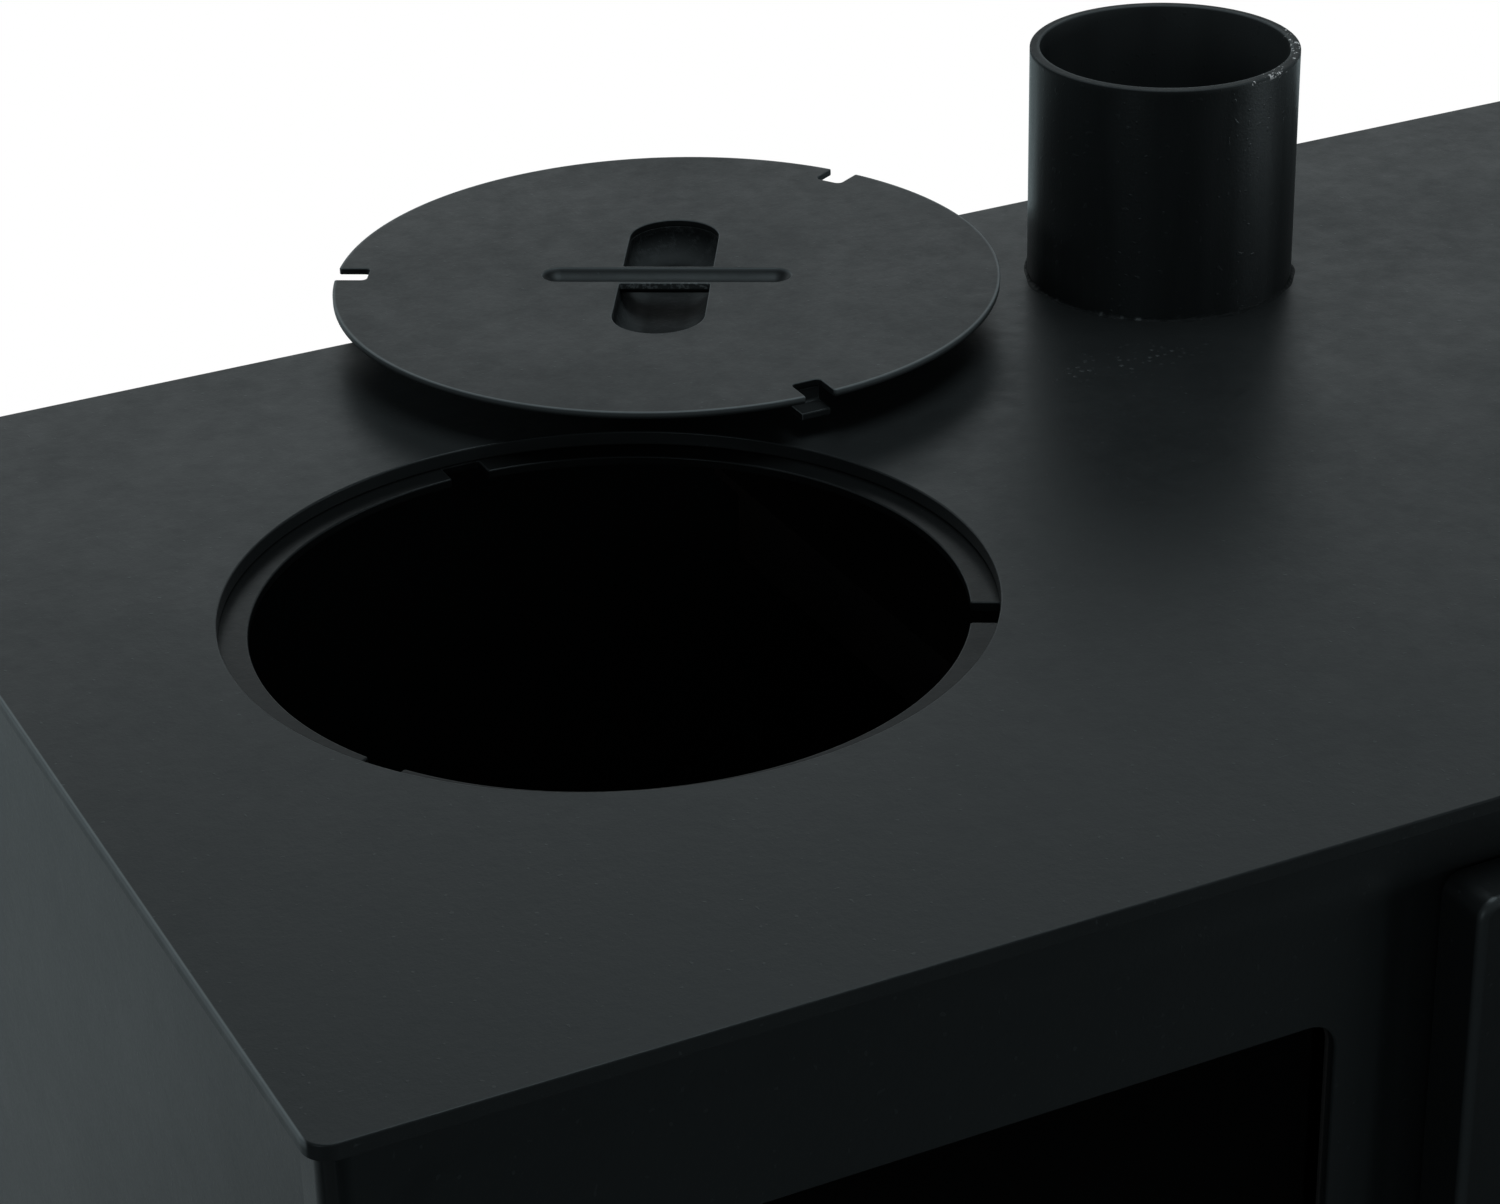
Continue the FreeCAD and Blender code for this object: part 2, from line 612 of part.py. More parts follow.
def liner_screw_places():
    left, right, foot, top = DOORWAY
    inset = LINER_SCREW_INSET
    return [(x, z) for x in (left + inset, right - inset) for z in (foot + inset, top - inset)]


def door_board(y0, y1):
    board = upright_sheet(DOOR, DOOR_EDGE, y0, y1, -DOOR_SHEET - BOARD_CLEARANCE)
    board = board.cut(rod_y(BUSH_OUTER, y0, y1, LATCH_X, LATCH_Z))
    for x, z in liner_screw_places():
        board = board.cut(rod_y(SCREW_RADIUS, y0, y1, x, z))
    return board.cut(Part.makeCompound(air_slots(y0, y1)))


def make_door_insulation():
    return door_board(BOARD_FRONT, LINER_FRONT)


def make_door_liner():
    return door_board(LINER_FRONT, LINER_BACK)


def make_liner_screws():
    screws = []
    for x, z in liner_screw_places():
        shank = rod_y(SCREW_RADIUS, BOARD_FRONT, LINER_BACK, x, z)
        head = rod_y(SCREW_HEAD_RADIUS, LINER_BACK, LINER_BACK + SCREW_HEAD_HEIGHT, x, z)
        screws.append(shank.fuse(head))
    return Part.makeCompound(screws)


def make_door_gasket():
    back = BODY_FRONT - SEAL_GAP
    ring = upright_sheet(DOORWAY, DOORWAY_CORNER, LINER_BACK, back, ROPE_OFFSET + ROPE_WIDTH)
    return ring.cut(upright_sheet(DOORWAY, DOORWAY_CORNER, LINER_BACK, back, ROPE_OFFSET))


def make_latch_bush():
    barrel = rod_y(BUSH_OUTER, DOOR_FACE, LINER_BACK, LATCH_X, LATCH_Z)
    flange = rod_y(BUSH_FLANGE_RADIUS, BUSH_FACE, DOOR_FACE, LATCH_X, LATCH_Z)
    return barrel.fuse(flange).cut(rod_y(BUSH_BORE, BUSH_FACE, LINER_BACK, LATCH_X, LATCH_Z))


def make_latch_spindle():
    return rod_y(SPINDLE_RADIUS, ARM_FRONT, LATCH_NUT_BACK + SPINDLE_END, LATCH_X, LATCH_Z)


def make_latch_spacer():
    front = LINER_BACK + LATCH_END_PLAY
    sleeve = rod_y(SPINDLE_RADIUS + SPACER_WALL, front, TONGUE_FRONT, LATCH_X, LATCH_Z)
    return sleeve.cut(rod_y(SPINDLE_RADIUS, front, TONGUE_FRONT, LATCH_X, LATCH_Z))


def swinging_bar(width, length, y0, y1, direction):
    """A flat bar with round ends from the latch spindle, straight up (+1) or down (-1)."""
    tip = LATCH_Z + direction * length
    low, high = sorted((LATCH_Z, tip))
    bar = box(LATCH_X - width / 2, LATCH_X + width / 2, y0, y1, low, high)
    bar = bar.fuse(rod_y(width / 2, y0, y1, LATCH_X, LATCH_Z))
    return bar.fuse(rod_y(width / 2, y0, y1, LATCH_X, tip)).removeSplitter()


def make_latch_arm():
    arm = swinging_bar(ARM_WIDTH, ARM_LENGTH, ARM_FRONT, ARM_BACK, -1)
    arm = arm.fuse(rod_y(ARM_WIDTH / 2, ARM_BACK, HUB_FACE, LATCH_X, LATCH_Z))
    return arm.cut(rod_y(SPINDLE_RADIUS, ARM_FRONT, HUB_FACE, LATCH_X, LATCH_Z)).removeSplitter()


def make_latch_grip():
    """A turned grip: a swelling side between a neck at the arm and a domed tip."""
    length = ARM_FRONT - GRIP_TIP
    neck = V(GRIP_BASE_RADIUS, 0, 0)
    belly = V(GRIP_BELLY_RADIUS, -length * GRIP_BELLY_PLACE, 0)
    shoulder = V(GRIP_TIP_RADIUS, GRIP_DOME - length, 0)
    round_radius = (GRIP_TIP_RADIUS ** 2 + GRIP_DOME ** 2) / (2 * GRIP_DOME)
    half_turn = math.asin(GRIP_TIP_RADIUS / round_radius) / 2
    crown = V(round_radius * math.sin(half_turn), round_radius * (1 - math.cos(half_turn)) - length, 0)
    tip = V(0, -length, 0)
    edges = [Part.LineSegment(V(0, 0, 0), neck).toShape(), Part.Arc(neck, belly, shoulder).toShape(),
             Part.Arc(shoulder, crown, tip).toShape(), Part.LineSegment(tip, V(0, 0, 0)).toShape()]
    grip = Part.Face(Part.Wire(edges)).revolve(V(0, 0, 0), V(0, 1, 0), 360)
    return moved(grip, LATCH_X, ARM_FRONT, LATCH_Z - ARM_LENGTH)


def make_latch_tongue():
    tongue = swinging_bar(TONGUE_WIDTH, TONGUE_LENGTH - TONGUE_WIDTH / 2, TONGUE_FRONT, TONGUE_BACK, 1)
    return tongue.cut(rod_y(SPINDLE_RADIUS, TONGUE_FRONT, TONGUE_BACK, LATCH_X, LATCH_Z))


def make_latch_nut():
    nut = hexagon_y(LATCH_NUT_FLATS, TONGUE_BACK, LATCH_NUT_BACK, LATCH_X, LATCH_Z)
    return nut.cut(rod_y(SPINDLE_RADIUS, TONGUE_BACK, LATCH_NUT_BACK, LATCH_X, LATCH_Z))


def make_air_slide():
    slide = box(SLIDE_LEFT, SLIDE_RIGHT, SLIDE_FRONT, SLIDE_BACK, SLIDE_FOOT, SLIDE_TOP)
    return slide.cut(Part.makeCompound(air_slots(SLIDE_FRONT, SLIDE_BACK)))


def make_air_knob():
    x = SLIDE_RIGHT - SLIDE_TAB / 2
    z = (SLIDE_FOOT + SLIDE_TOP) / 2
    tip = SLIDE_FRONT - AIR_KNOB_LENGTH
    neck = rod_y(AIR_KNOB_NECK_RADIUS, tip, SLIDE_FRONT, x, z)
    head = rod_y(AIR_KNOB_RADIUS, tip, tip + AIR_KNOB_HEAD, x, z)
    rims = [edge for edge in head.Edges if edge.BoundBox.YLength < 1e-6]
    return neck.fuse(head.makeFillet(AIR_KNOB_EDGE, rims))


def make_air_slide_rails():
    """Two strips on the door's face, each with a lip over one long edge of the slide."""
    left = SLIDE_LEFT
    right = SLIDE_RIGHT + SLIDE_TRAVEL
    lip_back = SLIDE_FRONT - SLIDE_GAP
    rails = []
    for edge, side in ((SLIDE_TOP, 1), (SLIDE_FOOT, -1)):
        inner = edge + side * SLIDE_GAP
        outer = inner + side * RAIL_WIDTH
        lip = edge - side * RAIL_LIP
        low, high = sorted((inner, outer))
        lip_low, lip_high = sorted((lip, outer))
        strip = box(left, right, lip_back, DOOR_FACE, low, high)
        cover = box(left, right, lip_back - RAIL_SHEET, lip_back, lip_low, lip_high)
        rails.append(strip.fuse(cover).removeSplitter())
    return Part.makeCompound(rails)


def groove_body(grow):
    """A round-ended bar along X whose lower side is the pressed groove, thickened by grow."""
    half_width = GROOVE_WIDTH / 2
    radius = (half_width ** 2 + GROOVE_DEPTH ** 2) / (2 * GROOVE_DEPTH)
    height = radius - GROOVE_DEPTH
    half = GROOVE_LENGTH / 2 - half_width
    bar = rod_x(radius + grow, -half, half, 0, height)
    for x in (-half, half):
        bar = bar.fuse(Part.makeSphere(radius + grow, V(x, 0, height)))
    return bar


def lid_place(shape):
    """From the lid's own frame, with its top at zero and the finger slot along X, to where it lies."""
    return moved(turned(shape, GRIP_ANGLE, V(0, 0, 0)), LID_X, LID_Y, LID_TOP)


def below_lid_top(shape):
    reach = LID_RADIUS + NOTCH_DEPTH
    return shape.common(box(-reach, reach, -reach, reach, -LID_HEIGHT, 0))


def across_slot(shape):
    return turned(shape, -90.0, V(0, 0, 0))


def make_lid_disc():
    disc = rod_z(LID_RADIUS, -LID_SHEET, 0, 0, 0)
    rim = [edge for edge in disc.Edges if edge.Length > LID_RADIUS]
    disc = disc.makeFillet(LID_EDGE, rim)
    slot = stadium(GRIP_SLOT_LENGTH, GRIP_SLOT_WIDTH, -LID_SHEET, 0)
    half_bar = GROOVE_WIDTH / 2 + GROOVE_RIM
    bridge = box(-half_bar, half_bar, -GRIP_SLOT_WIDTH, GRIP_SLOT_WIDTH, -LID_SHEET, 0)
    disc = disc.cut(slot.cut(bridge))
    disc = disc.fuse(below_lid_top(across_slot(groove_body(LID_SHEET))))
    disc = disc.cut(across_slot(groove_body(0.0)))
    notch = flat_sheet(NOTCH_ROOT, LID_RADIUS + NOTCH_DEPTH, -NOTCH_WIDTH / 2, NOTCH_WIDTH / 2, NOTCH_CORNER,
                       -LID_SHEET, 0)
    for angle in NOTCH_ANGLES:
        disc = disc.cut(turned(notch, angle - GRIP_ANGLE, V(0, 0, 0)))
    return lid_place(disc)


def make_lid_pocket():
    foot = LID_REST_GAP - LID_HEIGHT
    outer = stadium(GRIP_SLOT_LENGTH + 2 * POCKET_SHEET, GRIP_SLOT_WIDTH + 2 * POCKET_SHEET, foot, -LID_SHEET)
    inner = stadium(GRIP_SLOT_LENGTH, GRIP_SLOT_WIDTH, foot + POCKET_SHEET, -LID_SHEET)
    pocket = outer.cut(inner)
    return lid_place(pocket.cut(across_slot(groove_body(LID_SHEET))))


def make_lid_hooks():
    """Three bent tabs under the lid, each at the root of a notch with its foot turned outwards."""
    top = -LID_SHEET
    foot = top - HOOK_DROP
    inner = NOTCH_ROOT - HOOK_SHEET
    section = [V(inner, 0, top), V(inner, 0, foot), V(inner + HOOK_REACH, 0, foot),
               V(inner + HOOK_REACH, 0, foot + HOOK_SHEET), V(NOTCH_ROOT, 0, foot + HOOK_SHEET),
               V(NOTCH_ROOT, 0, top)]
    hook = moved(prism(section, V(0, NOTCH_WIDTH, 0)), 0, -NOTCH_WIDTH / 2)
    hooks = [turned(hook, angle - GRIP_ANGLE, V(0, 0, 0)) for angle in NOTCH_ANGLES]
    return lid_place(Part.makeCompound(hooks))


def leg_place(shape, y):
    """From a leg's own frame, pivot at the origin and leg straight down, to the right end of the stove."""
    return moved(turned(shape, -LEG_SPLAY, V(0, 0, 0), V(0, 1, 0)), PIVOT_X, y, PIVOT_Z)


def above_ground(shape):
    reach = PLATE_WIDTH + PLATE_DEPTH
    return shape.common(box(-reach, reach, -reach, reach, 0, PLATE_TOP))


def both_ys(maker):
    return [maker(-LEG_Y), maker(LEG_Y)]


def make_leg(y):
    foot = FOOT_SOLE - LEG_REACH
    tube = rod_z(LEG_RADIUS, foot, LEG_TOP, 0, 0)
    tube = tube.cut(rod_z(LEG_RADIUS - LEG_WALL, foot, LEG_TOP, 0, 0))
    tube = tube.cut(rod_y(LEG_PIN_RADIUS + RUNNING_CLEARANCE, -LEG_RADIUS, LEG_RADIUS, 0, 0))
    return leg_place(tube, y)


def make_foot(y):
    radius = LEG_RADIUS + FOOT_WALL
    cap = rod_z(radius, -LEG_REACH - radius, FOOT_HEIGHT - LEG_REACH, 0, 0)
    cap = cap.cut(rod_z(LEG_RADIUS, FOOT_SOLE - LEG_REACH, FOOT_HEIGHT - LEG_REACH, 0, 0))
    return above_ground(leg_place(cap, y))


def make_crossbar():
    height = CROSSBAR_HEIGHT - LEG_REACH
    bar = rod_y(CROSSBAR_RADIUS, -LEG_Y, LEG_Y, 0, height)
    for y in (-LEG_Y, LEG_Y):
        bar = bar.cut(moved(rod_z(LEG_RADIUS, -LEG_REACH, 0, 0, 0), 0, y))
    middle = [solid for solid in bar.Solids if solid.BoundBox.YLength > LEG_Y]
    return leg_place(middle[0], 0)


def make_leg_bracket(y):
    """Two ears with the pin through them, and a stop plate that the opened leg leans on."""
    gap = LEG_RADIUS + LEG_SIDE_GAP
    head = 2 * LEG_PIVOT_DROP
    stop_face = LEG_RADIUS + STOP_GAP
    outer = stop_face + EAR_SHEET
    stop_head = -math.hypot(LEG_RADIUS, LEG_TOP) - STOP_GAP
    stop_foot = stop_head - STOP_HEIGHT
    ears = [box(-EAR_HALF_WIDTH, outer, gap, gap + EAR_SHEET, stop_foot, head),
            box(-EAR_HALF_WIDTH, outer, -gap - EAR_SHEET, -gap, stop_foot, head)]
    stop = box(stop_face, outer, -gap, gap, stop_foot, stop_head)
    hole = rod_y(LEG_PIN_RADIUS, -gap - EAR_SHEET, gap + EAR_SHEET, 0, 0)
    bracket = stop.multiFuse(ears).cut(hole).removeSplitter()
    reach = PLATE_WIDTH
    under_body = box(-reach, reach, -reach, reach, 0, BODY_BOTTOM)
    return leg_place(bracket, y).common(under_body)


def make_leg_pin(y):
    half = LEG_RADIUS + LEG_SIDE_GAP + EAR_SHEET
    pin = rod_y(LEG_PIN_RADIUS, -half, half, 0, 0)
    pin = pin.fuse(rod_y(PIN_HEAD_RADIUS, half, half + PIN_HEAD, 0, 0))
    return leg_place(pin.fuse(rod_y(PIN_HEAD_RADIUS, -half - PIN_HEAD, -half, 0, 0)), y)


def both_ends(shapes):
    return Part.makeCompound(shapes + [mirrored_x(shape) for shape in shapes])


def leg_nodes():
    nodes = {}
    crossbar = make_crossbar()
    feet = Part.makeCompound(both_ys(make_foot))
    front_leg, rear_leg = both_ys(make_leg)
    for side, place in (("right", lambda shape: shape), ("left", mirrored_x)):
        nodes[side + "_front_leg"] = place(front_leg)
        nodes[side + "_rear_leg"] = place(rear_leg)
        nodes[side + "_crossbar"] = place(crossbar)
        nodes[side + "_feet"] = place(feet)
    nodes["leg_brackets"] = both_ends(both_ys(make_leg_bracket))
    nodes["leg_pins"] = both_ends(both_ys(make_leg_pin))
    return nodes


def main():
    side_panel = make_side_panel()
    nodes = {
        "top_plate": make_top_plate(),
        "hob_ring": make_hob_ring(),
        "flue_collar": make_flue_collar(),
        "flue_weld_bead": make_flue_weld_bead(),
        "front_panel": make_front_panel(),
        "left_side_panel": side_panel,
        "right_side_panel": mirrored_x(side_panel),
        "back_panel": make_back_panel(),
        "floor_panel": make_floor_panel(),
        "window_glass": make_window_glass(),
        "window_gasket": make_window_gasket(),
        "window_retainer": make_window_retainer(),
        "window_studs": make_window_studs(),
        "window_nuts": make_window_nuts(),
        "baffle_plate": make_baffle_plate(),
        "baffle_ledges": make_baffle_ledges(),
        "fire_grate": make_fire_grate(),
        "grate_rails": make_grate_rails(),
        "body_hinge_knuckles": make_body_hinge_knuckles(),
        "hinge_pins": make_hinge_pins(),
        "door_hinge_knuckles": make_door_hinge_knuckles(),
        "door_pan": make_door_pan(),
        "door_insulation": make_door_insulation(),
        "door_liner": make_door_liner(),
        "liner_screws": make_liner_screws(),
        "door_gasket": make_door_gasket(),
        "latch_bush": make_latch_bush(),
        "latch_spindle": make_latch_spindle(),
        "latch_spacer": make_latch_spacer(),
        "latch_arm": make_latch_arm(),
        "latch_grip": make_latch_grip(),
        "latch_tongue": make_latch_tongue(),
        "latch_nut": make_latch_nut(),
        "air_slide": make_air_slide(),
        "air_knob": make_air_knob(),
        "air_slide_rails": make_air_slide_rails(),
        "lid_disc": make_lid_disc(),
        "lid_pocket": make_lid_pocket(),
        "lid_hooks": make_lid_hooks(),
    }
    nodes.update(leg_nodes())
    os.makedirs(PARTS_FOLDER, exist_ok=True)
    for name, shape in nodes.items():
        shape.exportStep(os.path.join(PARTS_FOLDER, name + ".step"))
        state = "valid" if all(solid.isValid() for solid in shape.Solids) else "NOT VALID"
        print(name, len(shape.Solids), "solids", round(shape.Volume), "mm3", state)


main()
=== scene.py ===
import math

import bpy
import numpy as np
from mathutils import Matrix, Vector
from mathutils.geometry import tessellate_polygon


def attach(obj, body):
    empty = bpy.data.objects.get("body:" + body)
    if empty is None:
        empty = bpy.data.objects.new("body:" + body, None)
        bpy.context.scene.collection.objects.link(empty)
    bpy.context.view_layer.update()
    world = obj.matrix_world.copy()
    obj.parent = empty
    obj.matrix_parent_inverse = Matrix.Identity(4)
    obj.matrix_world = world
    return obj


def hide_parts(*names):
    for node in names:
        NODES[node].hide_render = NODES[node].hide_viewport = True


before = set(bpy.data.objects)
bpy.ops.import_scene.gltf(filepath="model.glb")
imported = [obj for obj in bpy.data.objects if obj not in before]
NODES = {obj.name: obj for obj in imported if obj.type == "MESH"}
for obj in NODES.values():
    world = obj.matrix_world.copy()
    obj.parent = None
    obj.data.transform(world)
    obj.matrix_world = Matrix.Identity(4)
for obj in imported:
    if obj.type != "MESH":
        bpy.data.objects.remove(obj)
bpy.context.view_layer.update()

# The looks of a tent stove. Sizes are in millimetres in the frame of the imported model, with +Z up and
# -Y towards the front, and become metres when a shell is made into an object.

MM = 0.001
POLE = 0.3  # radius of the small flats that close a turned piece on its axis
FIT, END_PLAY = 0.05, 0.3  # gaps at close fits, and at the ends of pieces that turn on each other

PLATE_X, PLATE_Y, PLATE_CORNER = 300.0, 179.5, 6.0
PLATE_FOOT, PLATE_TOP = 440.0, 444.0
BODY_X, BODY_Y, BODY_FOOT = 296.5, 176.0, 150.0
SHEET, BEND, BEND_RETURN = 2.0, 6.0, 14.0

HOB = (-153.6, 2.8)
HOB_RADIUS, SEAT_RADIUS, RING_RADIUS = 95.0, 87.8, 112.0
RING_SHEET, SEAT_SLOT = 2.5, 10.3
SEAT_SLOT_ANGLES = (90.0, 210.0, 330.0)

LID = (-66.8, 151.6)
LID_RADIUS, LID_TOP, LID_SHEET, LID_TURN = 94.0, 457.0, 2.0, 60.0
NOTCH_WIDTH, NOTCH_DEPTH, NOTCH_ANGLES = 8.5, 9.1, (30.0, 150.0, 270.0)
TAB_FOOT, TAB_REACH, TAB_SHEET = -8.0, 8.6, 2.0
GRIP_SLOT_HALF, GRIP_SLOT_HALF_WIDTH, GRIP_BAR_HALF = 41.75, 12.8, 6.2
GRIP_SLOT_ROUND = GRIP_SLOT_HALF_WIDTH - 0.01
GROOVE_HALF, GROOVE_HALF_WIDTH, GROOVE_EDGE, GROOVE_DEPTH = 35.4, 5.2, 5.45, 3.0
POCKET_SHEET, POCKET_FOOT, POCKET_ROUND = 1.5, -12.8, 9.0

FLUE = (72.4, 113.0)
FLUE_RADIUS, FLUE_BORE, FLUE_HOLE, FLUE_TOP = 38.05, 35.15, 33.15, 512.0
BEAD_LEG, BEAD_RISE, BEAD_LAP = 1.4, 1.6, 0.1

WINDOW, WINDOW_CORNER = (-260.0, -61.8, 206.0, 396.0), 7.0
SURROUND, SURROUND_CORNER, SURROUND_RISE = (-280.4, -48.0, 192.2, 429.3), 10.0, 0.6
GLASS_BACK, GLASS_FRONT, GLASS_LAP = 168.0, 172.0, 10.9
TAPE_MIDDLE, TAPE_HALF = 4.5, 4.4
STUD_ROWS = ((-277.5, -160.9, -44.3), (188.5, 413.5))
STUD_RADIUS, STUD_TIP, NUT_BACK, NUT_FRONT, NUT_FLATS = 2.5, 160.5, 162.0, 166.0, 8.0

DOORWAY, DOORWAY_CORNER = (-20.0, 257.0, 190.0, 363.0), 10.0
DOOR, DOOR_CORNER, DOOR_ROUND = (-36.0, 273.0, 167.0, 426.5), 5.0, 2.25
DOOR_FACE, DOOR_RIM, DOOR_SHEET = 191.9, 177.0, 3.0
LINER_BACK = 183.4
ROPE_OFFSET, ROPE_BACK, ROPE_HALF_WIDTH, ROPE_HALF = 6.75, 176.3, 4.7, 3.5
SCREW_ROWS = ((2.0, 235.0), (212.0, 341.0))
HINGE, HINGE_HEIGHTS, HINGE_PIN = (283.0, -184.45), (212.0, 381.5), 3.0
BARREL_RADIUS, BARREL_LENGTH, LEAF_HALF = 6.0, 18.0, 3.5

LATCH, ARM_LENGTH, ARM_HALF = (-4.0, 296.75), 55.0, 9.0
ARM_BACK, ARM_FRONT, GRIP_TIP, GRIP_END = 200.2, 206.2, 240.5, 3.0
SPINDLE_RADIUS, SPINDLE_BACK, BUSH_RADIUS, BUSH_FLANGE, BUSH_LIP = 5.0, 160.2, 8.0, 12.0, 3.0
CATCH_BACK, CATCH_FRONT, CATCH_HALF, CATCH_REACH = 168.2, 173.2, 8.0, 26.0
LOCK_NUT_BACK, LOCK_NUT_FLATS = 162.2, 16.0

AIR_MIDDLE, AIR_PITCH, AIR_HALF_WIDTH, AIR_FOOT, AIR_TOP = 118.5, 24.0, 4.5, 195.0, 215.0
SLIDE, SLIDE_BACK, SLIDE_FRONT, SLIDE_TRAVEL = (58.0, 195.0, 187.0, 223.0), 192.2, 194.2, 12.0
RAIL_LIP, RAIL_FRONT, AIR_CORNER, KNOB_INSET = 194.5, 196.5, 4.05, 12.0

LEG_PIVOT, LEG_Y, LEG_SPLAY = (251.5, 133.0), 144.0, math.radians(6.0)
LEG_RADIUS, LEG_WALL, LEG_TOP, LEG_PIN = 10.0, 2.0, 10.0, 4.0
LEG_REACH = LEG_PIVOT[1] / math.cos(LEG_SPLAY)
LEG_FOOT = 5.0 - LEG_REACH
EAR_INNER, EAR_OUTER, EAR_FOOT, EAR_SHEET, EAR_GAP = -13.0, 13.3, -26.4, 3.0, 10.5
BAR_RADIUS, BAR_HALF, BAR_RISE = 7.0, 137.5, 46.0
CAP_RADIUS, CAP_LIP, CAP_TOP, SOLE_ROUND = 12.5, 13.0, 20.0, 1.5


def unit(vectors):
    """Each vector divided by its length."""
    return vectors / np.maximum(np.linalg.norm(vectors, axis=-1, keepdims=True), 1e-12)


def compass(angle):
    """The unit vector at each angle, anticlockwise from a drawing's first axis."""
    return np.stack([np.cos(angle), np.sin(angle)], -1)


def full_turn(count):
    """Angles at equal steps once round."""
    return np.arange(count) * 2 * math.pi / count


def rounded_line(corners, radii, steps=6, closed=True):
    """A polyline whose corners are arcs, with the direction to the right of travel at each point.

    At a corner the arc starts before it by radius times the tangent of half the turn, and goes on by the
    radius times the sine of the angle turned, and sideways by the radius times one minus its cosine.
    A corner of no radius is one point, facing halfway between its two sides."""
    corners = np.asarray(corners, float)
    radii = np.broadcast_to(np.asarray(radii, float), corners.shape[:1])
    before, after = np.roll(corners, 1, 0), np.roll(corners, -1, 0)
    if not closed:
        before[0] = 2 * corners[0] - corners[1]
        after[-1] = 2 * corners[-1] - corners[-2]
    ahead, leaving = unit(corners - before), unit(after - corners)
    left = np.stack([-ahead[:, 1], ahead[:, 0]], -1)
    turn = np.arctan2((left * leaving).sum(1), (ahead * leaving).sum(1))
    angle = turn[:, None] * np.linspace(0, 1, steps + 1)
    start = corners - ahead * (radii * np.tan(abs(turn) / 2))[:, None]
    along = radii[:, None] * np.sin(abs(angle))
    across = np.sign(turn)[:, None] * radii[:, None] * (1 - np.cos(angle))
    line = start[:, None] + along[..., None] * ahead[:, None] + across[..., None] * left[:, None]
    heading = np.cos(angle)[..., None] * ahead[:, None] + np.sin(angle)[..., None] * left[:, None]
    kept = (radii > 0)[:, None] | (np.arange(steps + 1) == steps // 2)
    heading = heading[kept]
    return line[kept], np.stack([heading[:, 1], -heading[:, 0]], -1)


def outline(corners, radii, hole=False, steps=8):
    """A closed loop, anticlockwise round a sheet and clockwise round a hole in it."""
    corners, radii = np.asarray(corners, float), np.broadcast_to(radii, len(corners))
    if hole:
        corners, radii = corners[::-1], radii[::-1]
    return rounded_line(corners, radii, steps)


def box_outline(box, radius, hole=False, grow=0.0, steps=8):
    """A rectangle left, right, low, high with round corners, widened all round by grow."""
    left, right, low, high = box[0] - grow, box[1] + grow, box[2] - grow, box[3] + grow
    return outline([(right, low), (right, high), (left, high), (left, low)], radius + grow, hole, steps)


def circle(centre, radius, hole=False, count=288):
    """Points at equal angles round a centre."""
    return outline(np.asarray(centre) + radius * compass(full_turn(count)), 0.0, hole)


def hexagon(across_flats):
    return outline(across_flats / math.sqrt(3) * compass(full_turn(6)), 1.0)


def spun(count):
    """A loop of no size that faces all ways round, so that a profile carried round it is turned."""
    out = compass(full_turn(count))
    return 0 * out, out


def section(*corners):
    """An open profile of offset outwards and height, from corners given as offset, height, radius."""
    corners = np.array(corners, float)
    return rounded_line(corners[:, :2], corners[:, 2], closed=False)


def sheet_section(low, high, low_round, high_round):
    """The edge of a sheet: in under it, up its side and in over it, with both edges rounded."""
    lap = 1.2 * max(low_round, high_round)
    return section((-lap, low, 0), (0, low, low_round), (0, high, high_round), (-lap, high, 0))


class Place:
    """A flat drawing's origin and its three directions: across, up the drawing, and out of it."""

    def __init__(self, origin, across, up):
        self.origin = np.array(origin, float)
        across, up = np.array(across, float), np.array(up, float)
        self.axes = np.stack([across, up, np.cross(across, up)])

    def turn(self, flat, height):
        """Directions of the drawing as directions in space."""
        return flat @ self.axes[:2] + np.asarray(height)[..., None] * self.axes[2]

    def put(self, flat, height):
        return self.origin + self.turn(flat, height)

    def at(self, flat):
        """The same drawing with its origin moved to a point of it."""
        return Place(self.put(np.array(flat, float), 0.0), *self.axes[:2])


LYING = Place((0, 0, 0), (1, 0, 0), (0, 1, 0))
FACING = Place((0, 0, 0), (1, 0, 0), (0, 0, 1))
BACKWARDS = Place((0, 0, 0), (-1, 0, 0), (0, 0, 1))
ENDWISE = Place((0, 0, 0), (0, 0, 1), (0, -1, 0))


def from_behind(columns, rows):
    """A drawing seen from behind at each crossing of a grid of places on the front."""
    return [BACKWARDS.at((-x, z)) for x in columns for z in rows]


def lid_place():
    """The lid's own drawing: origin in the middle of its top, turned as the lid lies."""
    c, s = compass(math.radians(LID_TURN))
    return Place((*LID, LID_TOP), (c, s, 0), (-s, c, 0))


def linked(name, data):
    """A new object in the scene."""
    made = bpy.data.objects.new(name, data)
    bpy.context.scene.collection.objects.link(made)
    return made


